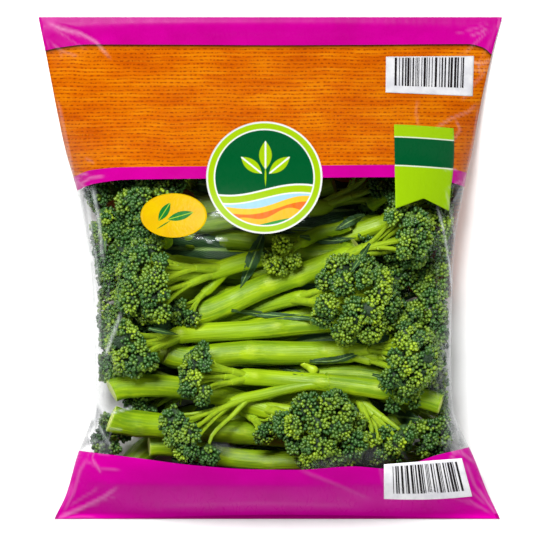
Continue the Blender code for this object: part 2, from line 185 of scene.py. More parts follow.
def film_height(x, y):
    """Underside of the front sheet over the plan point x, y."""
    t = across(x, y)
    full = np.clip(rise(plan_y(y)), 0, 1) ** 1.3
    up = (1 - t ** (2 + 1.4 * full)) ** (1.0 - 0.56 * full)
    fold = fold_height(y)
    return FILM + SEAL_GAP + fold + (crown(y) - fold) * up


# ---------------------------------------------------------------- the shoots
def through(points, n):
    """n points evenly along a smooth curve through these points."""
    p = np.array(points, float)
    ext = np.vstack([2 * p[0] - p[1], p, 2 * p[-1] - p[-2]])
    out = []
    for i in range(1, len(ext) - 2):
        a, b, c, d = ext[i - 1], ext[i], ext[i + 1], ext[i + 2]
        for t in np.linspace(0, 1, 24, endpoint=False):
            out.append(0.5 * (2 * b + (c - a) * t + (2 * a - 5 * b + 4 * c - d) * t**2
                              + (3 * b - a - 3 * c + d) * t**3))
    out = np.array(out + [p[-1]])
    s = np.concatenate([[0], np.cumsum(np.sqrt(((out[1:] - out[:-1]) ** 2).sum(1)))])
    u = np.linspace(0, s[-1], n)
    return np.stack([np.interp(u, s, out[:, k]) for k in range(out.shape[1])], 1), s[-1]


def to_metres(points, z):
    p = np.array(points, float)
    k = GRID * (EYE - z) / EYE
    return np.stack([(p[:, 0] - PLAN_X) * k, (PLAN_Y - p[:, 1]) * k, np.full(len(p), z)], 1)


def radii(n, length, cut, neck, head):
    """Radius along a shoot's line: stem, then a head that swells to a ball round the last point."""
    s = np.linspace(0, length, n)
    flare = 1.75 * head  # how far before the head's middle the branches leave the stem
    t = np.clip((s - (length - flare)) / flare, 0, 1)
    stem = cut + (neck - cut) * np.clip(s / (length - flare), 0, 1)
    return stem + (head - stem) * (t * t * (3 - 2 * t)) ** 0.9


STEP = 0.005


def make_chains():
    """Every stem line as points with radii: its shoot, its layer, and where a side branch joins."""
    chains = []
    for k, (name, layer, points, cut, neck, head, sides) in enumerate(SHOOTS):
        first, last = layer if isinstance(layer, tuple) else (layer, layer)
        line = to_metres(points, 0.016 + 0.0115 * (first + last) / 2)
        _, length = through(line, 8)
        n = int(round(length / STEP)) + 1
        line, length = through(line, n)
        layer = np.linspace(first, last, n)
        line[:, 2] = 0.016 + 0.0115 * layer
        main = {"shoot": k, "layer": layer, "p": line, "r": radii(n, length, cut / 1e3, neck / 1e3, head / 1e3),
                "root": None, "head": head / 1e3}
        chains.append(main)
        at = len(chains) - 1
        for where, pts, branch, small in sides:
            j = int(round(where * (n - 1)))
            side = np.vstack([line[j], to_metres(pts, line[j, 2] + 0.002)])
            _, length = through(side, 8)
            m = max(6, int(round(length / STEP)) + 1)
            side, length = through(side, m)
            chains.append({"shoot": k, "layer": np.full(m, layer[j]), "p": side,
                           "r": radii(m, length, branch / 1e3, branch / 1e3, small / 1e3),
                           "root": (at, j), "head": small / 1e3})
    return chains


def settle(chains, rounds=800):
    """Pushes the shoots clear of each other and of the film. Each line stays a smooth curve."""
    start = np.cumsum([0] + [len(c["p"]) for c in chains])
    P = np.vstack([c["p"] for c in chains])
    R = np.concatenate([c["r"] for c in chains])
    S = np.concatenate([np.full(len(c["p"]), c["shoot"]) for c in chains])
    L = np.concatenate([c["layer"] for c in chains])
    home = P.copy()
    fits = []
    for c in chains:
        t = np.linspace(-1, 1, len(c["p"]))
        both = []
        for order in (4, 6, 2, 5):  # plan before and after, height before and after
            basis = np.stack([t**k for k in range(order)], 1)
            both.append(np.round(basis @ np.linalg.pinv(basis), 10))
        fits.append((*both, c["p"] - both[0] @ c["p"], c["p"] - both[1] @ c["p"]))
    hold = np.where(L >= 3, 0.060, 0.010)[:, None]
    pairs = None
    for step in range(rounds):
        late = step / rounds
        if step % 12 == 0:
            reach = 0.006
            order = np.argsort(P[:, 0], kind="stable")
            I, J = [], []
            X = P[order, 0]
            widest = 2 * R.max() + CLEAR + reach
            end = np.searchsorted(X, X + widest, side="right")
            for a in range(len(order)):
                b = order[a + 1:end[a]]
                i = order[a]
                b = b[S[b] != S[i]]
                d = P[b] - P[i]
                near = (d * d).sum(1) < (R[b] + R[i] + CLEAR + reach) ** 2
                b = b[near]
                I.append(np.full(len(b), i))
                J.append(b)
            pairs = np.concatenate(I), np.concatenate(J)
        I, J = pairs
        move, count = np.zeros_like(P), np.zeros(len(P))
        d = P[J] - P[I]
        dist = np.sqrt((d * d).sum(1)) + 1e-9
        over = R[I] + R[J] + CLEAR - dist
        hit = over > 0
        i, j, d, dist, over = I[hit], J[hit], d[hit], dist[hit], over[hit]
        n = d / dist[:, None]
        # layers pass over each other: a contact is turned towards the vertical by rank
        rank = np.sign(L[j] - L[i])
        n[:, 2] += 0.45 * rank * (1 - late)
        n /= np.sqrt((n * n).sum(1))[:, None]
        push = 0.5 * over[:, None] * n
        np.add.at(move, i, -push)
        np.add.at(move, j, push)
        np.add.at(count, i, 1)
        np.add.at(count, j, 1)
        P = P + move / np.maximum(count, 1)[:, None] ** 0.55
        # down under gravity, and back towards the drawn place
        P[:, 2] -= 0.00022 * (1 - late)
        P[:, :2] += hold * (home[:, :2] - P[:, :2]) * (1 - 0.9 * late)
        for _ in range(2):
            inside(P, R)
        P = np.round(P, 9)
        for c, (a, b) in enumerate(zip(start[:-1], start[1:])):
            loose = late > 0.62  # a stem gives a little more once the pile has settled
            q = fits[c][loose] @ P[a:b] + fits[c][4 + loose]
            q[:, 2] = fits[c][2 + loose] @ P[a:b, 2]
            mix = 0.8 if late < 0.9 else 0.5
            P[a:b] += mix * (q - P[a:b])
            root = chains[c]["root"]
            if root is not None:
                src = start[root[0]] + root[1]
                w = np.clip(1 - np.arange(b - a) / 5.0, 0, 1)[:, None]
                P[a:b] += (P[src] - P[a]) * w
        P = np.round(P, 8)
    i, j = pairs
    d = P[j] - P[i]
    worst = (R[i] + R[j] - np.sqrt((d * d).sum(1))).max()
    print("deepest overlap left, mm:", round(worst * 1e3, 3))
    for c, (a, b) in zip(chains, zip(start[:-1], start[1:])):
        c["p"] = P[a:b]
    return chains


ROUND = np.array([(0, 0, 1)] + [(math.sin(e) * math.cos(a), math.sin(e) * math.sin(a), math.cos(e))
                               for e in (math.radians(38), math.radians(68))
                               for a in np.arange(8) * math.pi / 4 + (e > 1) * math.pi / 8])


def inside(P, R):
    """Keeps every ball over the back sheet and under the front sheet."""
    y = P[:, 1]
    side = np.maximum(half_width(y) - R - FILM_CLEAR, 0.004)
    mid = middle(y)
    P[:, 0] = mid + np.clip(P[:, 0] - mid, -side, side)
    k = np.nonzero(film_height(P[:, 0], y) - P[:, 2] < 2.2 * R + 0.008)[0]
    q = P[k, None, :] + R[k, None, None] * ROUND[None]
    x, v, z = q[..., 0], q[..., 1], q[..., 2]
    deep = z + FILM_CLEAR - film_height(x, v)
    worst = deep.argmax(1)
    at = np.arange(len(k))
    x, v, depth = x[at, worst], v[at, worst], deep[at, worst]
    on = depth > 0
    k, x, v, depth = k[on], x[on], v[on], depth[on]
    e = 0.0008
    sx = (film_height(x + e, v) - film_height(x - e, v)) / (2 * e)
    sy = (film_height(x, v + e) - film_height(x, v - e)) / (2 * e)
    steep = np.sqrt(1 + sx**2 + sy**2)
    n = np.stack([-sx, -sy, np.ones_like(sx)], 1) / steep[:, None]
    P[k] -= np.minimum(depth / steep, 0.004)[:, None] * n
    outward = np.sign(P[:, 0] - mid)
    for a in (0.0, 0.4, 0.8, 1.2):
        low = back_height(P[:, 0] + outward * R * math.sin(a), P[:, 1]) + 0.0014
        P[:, 2] = np.maximum(P[:, 2], low + R * math.cos(a))



# ---------------------------------------------------------------- small tools
rng = np.random.default_rng(41)


def unit(v):
    v = np.asarray(v, float)
    return v / np.maximum(np.sqrt((v * v).sum(-1, keepdims=True)), 1e-12)


def across_of(a):
    """Two unit vectors at right angles to each direction in a."""
    a = unit(a)
    ref = np.where(np.abs(a[..., 2:3]) < 0.9, [0.0, 0.0, 1.0], [1.0, 0.0, 0.0])
    u = unit(np.cross(ref, a))
    return u, np.cross(a, u)


def cap_points(n, low, turn=0.0):
    """n directions spread evenly over a cap round +Z, down to the cosine low."""
    k = np.arange(n) + 0.5
    c = 1 - k / n * (1 - low)
    s = np.sqrt(np.maximum(1 - c * c, 0))
    a = k * 2.399963 + turn
    return np.stack([s * np.cos(a), s * np.sin(a), c], 1)


def turned(d, axis):
    """Directions given round +Z, turned to lie round axis."""
    u, v = across_of(axis)
    return d[..., 0:1] * u + d[..., 1:2] * v + d[..., 2:3] * unit(axis)


def wobble(p, size, seed):
    """Smooth noise from -1 to 1 at each point, with features of about size metres."""
    q = np.asarray(p, float) / size
    out = np.zeros(q.shape[:-1])
    g = np.random.default_rng(seed)
    for k in range(7):
        w = unit(g.normal(size=3)) * (0.9 + 0.9 * k / 6) * 2.2
        out = out + np.sin(q @ w + g.uniform(0, 6.28)) * (0.9 - 0.08 * k)
    return np.clip(out / 2.6, -1, 1)


class Soup:
    """Collects vertices and faces of many small forms for one object."""

    def __init__(self):
        self.v, self.f3, self.f4, self.m3, self.m4, self.c, self.s, self.n = [], [], [], [], [], [], [], 0

    def add(self, v, tris=None, quads=None, mat=0, colour=None, along=None):
        v = np.asarray(v, float).reshape(-1, 3)
        self.v.append(v)
        self.c.append(np.zeros((len(v), 4)) if colour is None else np.broadcast_to(colour, (len(v), 4)))
        self.s.append(np.zeros((len(v), 3)) if along is None else along)
        if tris is not None and len(tris):
            self.f3.append(np.asarray(tris) + self.n)
            self.m3.append(np.full(len(tris), mat))
        if quads is not None and len(quads):
            self.f4.append(np.asarray(quads) + self.n)
            self.m4.append(np.full(len(quads), mat))
        self.n += len(v)

    def count(self):
        return sum(len(f) for f in self.f3) + 2 * sum(len(f) for f in self.f4)

    def make(self, name, mats, smooth=True):
        v = np.vstack(self.v)
        f3 = np.vstack(self.f3) if self.f3 else np.zeros((0, 3), int)
        f4 = np.vstack(self.f4) if self.f4 else np.zeros((0, 4), int)
        mesh = bpy.data.meshes.new(name)
        mesh.from_pydata(v.tolist(), [], f3.tolist() + f4.tolist())
        mesh.polygons.foreach_set("material_index", np.concatenate(self.m3 + self.m4).astype(np.int32))
        for m in mats:
            mesh.materials.append(m)
        tint = mesh.attributes.new("tint", "FLOAT_COLOR", "POINT")
        tint.data.foreach_set("color", np.vstack(self.c).astype(np.float32).ravel())
        flow = mesh.attributes.new("flow", "FLOAT_VECTOR", "POINT")
        flow.data.foreach_set("vector", np.vstack(self.s).astype(np.float32).ravel())
        if smooth:
            mesh.shade_smooth()
        mesh.update()
        o = bpy.data.objects.new(name, mesh)
        bpy.context.scene.collection.objects.link(o)
        return o


def tube_faces(n, sides, start=0):
    """Quads of a tube of n rings."""
    i, k = np.meshgrid(np.arange(n - 1), np.arange(sides), indexing="ij")
    a = start + i * sides + k
    b = start + i * sides + (k + 1) % sides
    return np.stack([a, b, b + sides, a + sides], -1).reshape(-1, 4)


def frames_along(p):
    """Tangent and two cross vectors along a line, with no twist."""
    t = unit(np.gradient(p, axis=0))
    u = np.zeros_like(p)
    u[0] = across_of(t[0])[0]
    for k in range(1, len(p)):
        w = u[k - 1] - (u[k - 1] @ t[k]) * t[k]
        u[k] = w / max(np.linalg.norm(w), 1e-9)
    return t, u, np.cross(t, u)


def add_tube(soup, p, r, sides, mat=0, colour=None, cap_start=True, cap_end=True, relief=None, s0=0.0, tip=0.5):
    """A closed tube with rounded ends."""
    p, r = np.asarray(p, float), np.asarray(r, float)
    t, u, v = frames_along(p)
    a = np.arange(sides) * 2 * math.pi / sides
    s = s0 + np.concatenate([[0], np.cumsum(np.sqrt(((p[1:] - p[:-1]) ** 2).sum(1)))])
    rad = np.repeat(r[:, None], sides, 1)
    if relief is not None:
        rad = rad * relief(s, a)
    ring = p[:, None] + rad[..., None] * (np.cos(a)[None, :, None] * u[:, None] + np.sin(a)[None, :, None] * v[:, None])
    verts = [ring.reshape(-1, 3), p[:1] - t[:1] * r[0] * tip * cap_start, p[-1:] + t[-1:] * r[-1] * tip * cap_end]
    n = len(p)
    quads = tube_faces(n, sides)
    k = np.arange(sides)
    one, two = n * sides, n * sides + 1
    tris = np.vstack([np.stack([(k + 1) % sides, k, np.full(sides, one)], 1),
                      np.stack([(n - 1) * sides + k, (n - 1) * sides + (k + 1) % sides, np.full(sides, two)], 1)])
    flow = np.stack([np.repeat(s, sides), (rad * np.cos(a)).ravel(), (rad * np.sin(a)).ravel()], 1)
    flow = np.vstack([flow, [[s[0], 0, 0], [s[-1], 0, 0]]])
    if colour is None:
        colour = np.zeros(4)
    colour = np.asarray(colour, float)
    if colour.ndim == 2:  # one colour a ring
        colour = np.vstack([np.repeat(colour, sides, 0), colour[:1], colour[-1:]])
    soup.add(np.vstack(verts), tris, quads, mat, colour, flow)
    return ring


def bend(a, ta, b, tb, n):
    """n points from a to b that leave along ta and arrive along tb."""
    d = np.linalg.norm(np.asarray(b) - np.asarray(a))
    t = np.linspace(0, 1, n)[:, None]
    h1, h2 = 2 * t**3 - 3 * t**2 + 1, t**3 - 2 * t**2 + t
    h3, h4 = -2 * t**3 + 3 * t**2, t**3 - t**2
    return h1 * a + h2 * unit(ta) * d * 0.9 + h3 * b + h4 * unit(tb) * d * 0.9


# ---------------------------------------------------------------- shader tools
def new_material(name):
    m = bpy.data.materials.new(name)
    m.use_nodes = True
    t = m.node_tree
    t.nodes.clear()
    out = t.nodes.new("ShaderNodeOutputMaterial")
    shader = t.nodes.new("ShaderNodeBsdfPrincipled")
    t.links.new(shader.outputs[0], out.inputs[0])
    return m, t, shader, out


def node(t, kind, **settings):
    n = t.nodes.new(kind)
    for k, v in settings.items():
        setattr(n, k, v)
    return n


def attribute(t, name):
    return node(t, "ShaderNodeAttribute", attribute_name=name)


def maths(t, op, a, b=None, c=None, clamp=False):
    n = node(t, "ShaderNodeMath", operation=op, use_clamp=clamp)
    for k, x in enumerate((a, b, c)):
        if x is None:
            continue
        if isinstance(x, (int, float)):
            n.inputs[k].default_value = x
        else:
            t.links.new(x, n.inputs[k])
    return n.outputs[0]


def scaled(t, vec, scale):
    n = node(t, "ShaderNodeVectorMath", operation="MULTIPLY")
    t.links.new(vec, n.inputs[0])
    n.inputs[1].default_value = scale
    return n.outputs[0]


def noise(t, vec, scale, detail=3.0, rough=0.5, distortion=0.0):
    n = node(t, "ShaderNodeTexNoise")
    t.links.new(vec, n.inputs["Vector"])
    n.inputs["Scale"].default_value = scale
    n.inputs["Detail"].default_value = detail
    n.inputs["Roughness"].default_value = rough
    n.inputs["Distortion"].default_value = distortion
    return n.outputs["Fac"]


def ramp(t, fac, stops, interpolation="LINEAR"):
    n = node(t, "ShaderNodeValToRGB")
    n.color_ramp.interpolation = interpolation
    e = n.color_ramp.elements
    while len(e) > 1:
        e.remove(e[-1])
    for k, (pos, col) in enumerate(stops):
        if k == 0:
            el = e[0]
            el.position = pos
        else:
            el = e.new(pos)
        col = (col, col, col) if isinstance(col, (int, float)) else col
        el.color = (*col, 1.0)
    if isinstance(fac, (int, float)):
        n.inputs[0].default_value = fac
    else:
        t.links.new(fac, n.inputs[0])
    return n.outputs[0]


def mixed(t, fac, a, b, blend="MIX"):
    n = node(t, "ShaderNodeMix", data_type="RGBA", blend_type=blend)
    n.clamp_factor = True
    for socket, x in ((n.inputs[0], fac), (n.inputs[6], a), (n.inputs[7], b)):
        if isinstance(x, (int, float)):
            socket.default_value = x
        elif isinstance(x, tuple):
            socket.default_value = (*x, 1.0)
        else:
            t.links.new(x, socket)
    return n.outputs[2]


def bumped(t, shader, height, distance, strength=1.0, normal=None):
    n = node(t, "ShaderNodeBump")
    n.inputs["Strength"].default_value = strength
    n.inputs["Distance"].default_value = distance
    t.links.new(height, n.inputs["Height"])
    if normal is not None:
        t.links.new(normal, n.inputs["Normal"])
    t.links.new(n.outputs[0], shader.inputs["Normal"])
    return n.outputs[0]


def channels(t, colour):
    n = node(t, "ShaderNodeSeparateColor")
    t.links.new(colour, n.inputs[0])
    return n.outputs[0], n.outputs[1], n.outputs[2]


# ---------------------------------------------------------------- plant materials
def stalk_material():
    """Waxy yellow-green skin with fine lines along it. Tint: red is scar, green is cut face, blue is head end."""
    m, t, shader, out = new_material("stalk_skin")
    flow, tint = attribute(t, "flow").outputs["Vector"], attribute(t, "tint").outputs["Color"]
    scar, cut, high = channels(t, tint)
    lines = noise(t, scaled(t, flow, (22.0, 1000.0, 1000.0)), 1.0, 3.0, 0.6)
    broad = noise(t, scaled(t, flow, (16.0, 330.0, 330.0)), 1.0, 2.0, 0.5)
    patch = noise(t, scaled(t, flow, (55.0, 120.0, 120.0)), 1.0, 3.0, 0.55)
    flecks = noise(t, scaled(t, flow, (420.0, 900.0, 900.0)), 1.0, 2.0, 0.6)
    base = ramp(t, broad, [(0.30, (0.070, 0.160, 0.001)), (0.5, (0.170, 0.292, 0.001)), (0.72, (0.325, 0.450, 0.002))])
    base = mixed(t, maths(t, "MULTIPLY", ramp(t, patch, [(0.42, 0.0), (0.62, 1.0)]), 0.62), base, (0.056, 0.140, 0.002))
    base = mixed(t, maths(t, "MULTIPLY", ramp(t, lines, [(0.44, 0.0), (0.66, 1.0)]), 0.28), base, (0.36, 0.48, 0.012))
    base = mixed(t, maths(t, "MULTIPLY", ramp(t, flecks, [(0.62, 0.0), (0.72, 1.0)]), 0.28), base, (0.36, 0.48, 0.03))
    base = mixed(t, maths(t, "MULTIPLY", high, 0.60), base, (0.270, 0.415, 0.006))
    base = mixed(t, maths(t, "MULTIPLY", scar, 0.55, clamp=True), base, (0.38, 0.46, 0.050))
    pith = node(t, "ShaderNodeVectorMath", operation="LENGTH")
    t.links.new(scaled(t, flow, (0.0, 1.0, 1.0)), pith.inputs[0])
    rays = noise(t, scaled(t, flow, (0.0, 1300.0, 1300.0)), 1.0, 4.0, 0.65)
    face = mixed(t, ramp(t, maths(t, "MULTIPLY", pith.outputs["Value"], 150.0), [(0.35, 0.0), (0.80, 1.0)]),
                 (0.50, 0.58, 0.10), (0.40, 0.52, 0.05))
    face = mixed(t, maths(t, "MULTIPLY", ramp(t, rays, [(0.45, 0.0), (0.62, 1.0)]), 0.45), face, (0.60, 0.64, 0.26))
    base = mixed(t, cut, base, face)
    t.links.new(base, shader.inputs["Base Color"])
    t.links.new(ramp(t, patch, [(0.3, 0.38), (0.7, 0.56)]), shader.inputs["Roughness"])
    shader.inputs["Specular IOR Level"].default_value = 0.28
    height = maths(t, "ADD", maths(t, "MULTIPLY", lines, 0.8), maths(t, "MULTIPLY", broad, 1.0))
    bumped(t, shader, height, 0.00055, 0.9)
    return m


def branch_material():
    """Thin branches and flower stalks. Tint: red is how yellow, green is how near the buds, where the colour is
    darkened as painted shade, blue is random.
    """
    m, t, shader, out = new_material("branch_skin")
    tint, flow = attribute(t, "tint").outputs["Color"], attribute(t, "flow").outputs["Vector"]
    yellow, near, any_ = channels(t, tint)
    lines = noise(t, scaled(t, flow, (90.0, 1700.0, 1700.0)), 1.0, 3.0, 0.6)
    spots = noise(t, scaled(t, flow, (260.0, 500.0, 500.0)), 1.0, 3.0, 0.6)
    base = mixed(t, yellow, (0.098, 0.210, 0.003), (0.320, 0.445, 0.007))
    base = mixed(t, maths(t, "MULTIPLY", ramp(t, lines, [(0.40, 0.0), (0.68, 1.0)]), 0.30), base, (0.40, 0.52, 0.055))
    base = mixed(t, maths(t, "MULTIPLY", ramp(t, spots, [(0.50, 0.0), (0.72, 1.0)]), 0.45), base, (0.060, 0.165, 0.006))
    # painted shade: the stalks darken towards the buds, where the head shades them
    base = mixed(t, maths(t, "MULTIPLY", near, 1.20, clamp=True), base, (0.040, 0.105, 0.006))
    t.links.new(base, shader.inputs["Base Color"])
    t.links.new(ramp(t, spots, [(0.3, 0.34), (0.7, 0.50)]), shader.inputs["Roughness"])
    shader.inputs["Specular IOR Level"].default_value = 0.4
    bumped(t, shader, lines, 0.00022, 0.7)
    return m


def bud_material():
    """Waxy flower buds, each with a painted highlight on its tip. Tint: red is yellowness, green runs from base to tip,
    blue is random.
    """
    m, t, shader, out = new_material("flower_buds")
    tint, flow = attribute(t, "tint").outputs["Color"], attribute(t, "flow").outputs["Vector"]
    yellow, up, any_ = channels(t, tint)
    fine = noise(t, scaled(t, flow, (1.0, 1.0, 1.0)), 900.0, 3.0, 0.6)
    dark = mixed(t, any_, (0.005, 0.028, 0.004), (0.019, 0.068, 0.009))
    bright = mixed(t, any_, (0.085, 0.175, 0.003), (0.235, 0.330, 0.006))
    base = mixed(t, yellow, dark, bright)
    foot = mixed(t, yellow, (0.026, 0.075, 0.004), (0.200, 0.310, 0.010))
    base = mixed(t, ramp(t, up, [(0.06, 1.0), (0.40, 0.0)]), base, foot)
    # painted highlight: the tip of each bud is lighter
    base = mixed(t, maths(t, "MULTIPLY", ramp(t, up, [(0.60, 0.0), (1.0, 1.0)]), 0.62), base,
                 mixed(t, yellow, (0.072, 0.175, 0.040), (0.40, 0.54, 0.02)))
    base = mixed(t, maths(t, "MULTIPLY", ramp(t, fine, [(0.45, 0.0), (0.70, 1.0)]), 0.22), base, (0.075, 0.170, 0.030))
    t.links.new(base, shader.inputs["Base Color"])
    t.links.new(ramp(t, fine, [(0.3, 0.30), (0.7, 0.46)]), shader.inputs["Roughness"])
    shader.inputs["Specular IOR Level"].default_value = 0.36
    bumped(t, shader, fine, 0.00018, 0.6)
    return m


def core_material():
    """The crowded stalks deep in a head, coloured near black towards the buds as painted shade. Green in the tint runs
    from the branch to the buds.
    """
    m, t, shader, out = new_material("head_core_painted_shade")
    tint, flow = attribute(t, "tint").outputs["Color"], attribute(t, "flow").outputs["Vector"]
    yellow, near, any_ = channels(t, tint)
    grain = noise(t, scaled(t, flow, (1.0, 1.0, 1.0)), 650.0, 4.0, 0.65)
    # painted shade: from stalk green at the branch to near black at the buds, with darker grain
    base = ramp(t, near, [(0.08, (0.110, 0.220, 0.010)), (0.36, (0.036, 0.098, 0.010)), (0.7, (0.007, 0.026, 0.006))])
    base = mixed(t, ramp(t, grain, [(0.42, 0.0), (0.66, 1.0)]), base, (0.006, 0.022, 0.004))
    t.links.new(base, shader.inputs["Base Color"])
    t.links.new(ramp(t, grain, [(0.3, 0.55), (0.7, 0.75)]), shader.inputs["Roughness"])
    bumped(t, shader, grain, 0.0010, 0.9)
    return m


def leaf_material():
    """Dark blue-green leaf with a pale midrib; its darkness is partly the leaf's own colour and partly painted shade
    for leaves low in the heap. Flow: x along, y from midrib to edge.
    """
    m, t, shader, out = new_material("leaf_blade")
    flow = attribute(t, "flow").outputs["Vector"]
    sep = node(t, "ShaderNodeSeparateXYZ")
    t.links.new(flow, sep.inputs[0])
    side = maths(t, "ABSOLUTE", sep.outputs[1])
    veins = node(t, "ShaderNodeTexWave", wave_type="BANDS", bands_direction="X")
    slanted = node(t, "ShaderNodeCombineXYZ")
    t.links.new(maths(t, "ADD", maths(t, "MULTIPLY", sep.outputs[0], 9.0), maths(t, "MULTIPLY", side, -2.4)), slanted.inputs[0])
    t.links.new(slanted.outputs[0], veins.inputs["Vector"])
    veins.inputs["Scale"].default_value = 1.0
    veins.inputs["Distortion"].default_value = 1.2
    mottle = noise(t, scaled(t, flow, (14.0, 5.0, 0.0)), 1.0, 4.0, 0.6)
    # partly painted shade: the blade colours are kept darker than the leaf's own colour
    base = ramp(t, mottle, [(0.3, (0.011, 0.046, 0.013)), (0.7, (0.034, 0.098, 0.027))])
    base = mixed(t, maths(t, "MULTIPLY", ramp(t, veins.outputs["Fac"], [(0.72, 0.0), (0.95, 1.0)]), 0.28), base, (0.12, 0.235, 0.085))
    base = mixed(t, ramp(t, side, [(0.05, 1.0), (0.16, 0.0)]), base, (0.24, 0.40, 0.095))
    t.links.new(base, shader.inputs["Base Color"])
    t.links.new(ramp(t, mottle, [(0.3, 0.42), (0.7, 0.58)]), shader.inputs["Roughness"])
    bumped(t, shader, veins.outputs["Fac"], 0.0004, 0.5)
    return m


STALK, BRANCH, BUD, CORE, LEAF = stalk_material(), branch_material(), bud_material(), core_material(), leaf_material()


# ---------------------------------------------------------------- growing the shoots
def bud_form(sides, rows):
    """A bud of unit length along +Z and unit radius: points, triangles."""
    ring = [np.stack([r * np.cos(a0 + np.arange(sides) * 2 * math.pi / sides),
                      r * np.sin(a0 + np.arange(sides) * 2 * math.pi / sides),
                      np.full(sides, z)], 1) for z, r, a0 in rows]
    v = np.vstack(ring + [[[0, 0, 0]], [[0, 0, 1]]])
    n, k = len(rows), np.arange(sides)
    q = tube_faces(n, sides)
    tris = np.vstack([q[:, [0, 1, 2]], q[:, [0, 2, 3]],
                      np.stack([(k + 1) % sides, k, np.full(sides, n * sides)], 1),
                      np.stack([(n - 1) * sides + k, (n - 1) * sides + (k + 1) % sides, np.full(sides, n * sides + 1)], 1)])
    return v, tris


FINE_BUD = bud_form(6, ((0.30, 0.86, 0.0), (0.70, 0.94, 0.5)))
PLAIN_BUD = bud_form(5, ((0.28, 0.88, 0.0), (0.74, 0.84, 0.5)))


def add_buds(soup, form, base, way, length, radius, yellow, any_, mat=0):
    v, tris = form
    u, w = across_of(way)
    spin = any_ * 6.28
    cu, su = np.cos(spin)[:, None], np.sin(spin)[:, None]
    u, w = cu * u + su * w, -su * u + cu * w
    pts = (base[:, None] + radius[:, None, None] * (v[None, :, 0:1] * u[:, None] + v[None, :, 1:2] * w[:, None])
           + length[:, None, None] * v[None, :, 2:3] * unit(way)[:, None])
    n, m = len(base), len(v)
    colour = np.zeros((n, m, 4))
    colour[..., 0] = yellow[:, None]
    colour[..., 1] = v[None, :, 2]
    colour[..., 2] = any_[:, None]
    faces = (tris[None] + (np.arange(n) * m)[:, None, None]).reshape(-1, 3)
    soup.add(pts.reshape(-1, 3), faces, None, mat, colour.reshape(-1, 4), pts.reshape(-1, 3))


def add_threads(soup, a, b, r0, r1, yellow, any_, mat):
    """Thin three-sided stalks from each a to each b."""
    d = unit(b - a)
    u, w = across_of(d)
    n = len(a)
    ang = np.arange(3) * 2 * math.pi / 3
    cross = np.cos(ang)[None, :, None] * u[:, None] + np.sin(ang)[None, :, None] * w[:, None]
    pts = np.concatenate([a[:, None] + r0 * cross, b[:, None] + r1 * cross], 1)
    tris = np.array([(0, 1, 4), (0, 4, 3), (1, 2, 5), (1, 5, 4), (2, 0, 3), (2, 3, 5), (0, 2, 1), (3, 4, 5)])
    faces = (tris[None] + (np.arange(n) * 6)[:, None, None]).reshape(-1, 3)
    colour = np.zeros((n, 6, 4))
    colour[..., 0] = yellow[:, None]
    # the bud end of each stalk is marked for painted shade in the branch skin
    colour[:, 3:, 1] = 0.5
    colour[..., 2] = any_[:, None]
    soup.add(pts.reshape(-1, 3), faces, None, mat, colour.reshape(-1, 4), pts.reshape(-1, 3))


CHAINS = settle(make_chains())
ALL_P = np.vstack([c["p"] for c in CHAINS])
ALL_R = np.concatenate([c["r"] for c in CHAINS])
ALL_S = np.concatenate([np.full(len(c["p"]), c["shoot"]) for c in CHAINS])
ALL_L = np.concatenate([c["layer"] for c in CHAINS])
ALL_HEAD = np.concatenate([np.arange(len(c["p"])) > len(c["p"]) - 1 - 1.3 * c["head"] / STEP for c in CHAINS])
TALLEST = []  # points that hold the film up: x, y, z
PUFF = 0.0032  # how far the film may stand out over its smooth dome


def clear_of_stems(points, shoot, margin):
    """True where a point is not inside another shoot's stem."""
    keep = np.ones(len(points), bool)
    low, high = points.min(0) - 0.02, points.max(0) + 0.02
    near = (ALL_S != shoot) & ~ALL_HEAD & (ALL_P > low).all(1) & (ALL_P < high).all(1)
    for q, r in zip(ALL_P[near], ALL_R[near]):
        keep &= ((points - q) ** 2).sum(1) > (r + margin) ** 2
    return keep


def room(x, y):
    """How high a point may lie under the film, which is drawn flat near the lower seal."""
    return film_height(x, y) + (FILM + PUFF - 0.0010) * np.clip((y - (PLAN_Y - 486) * GRID) / 0.012, -0.6, 1)


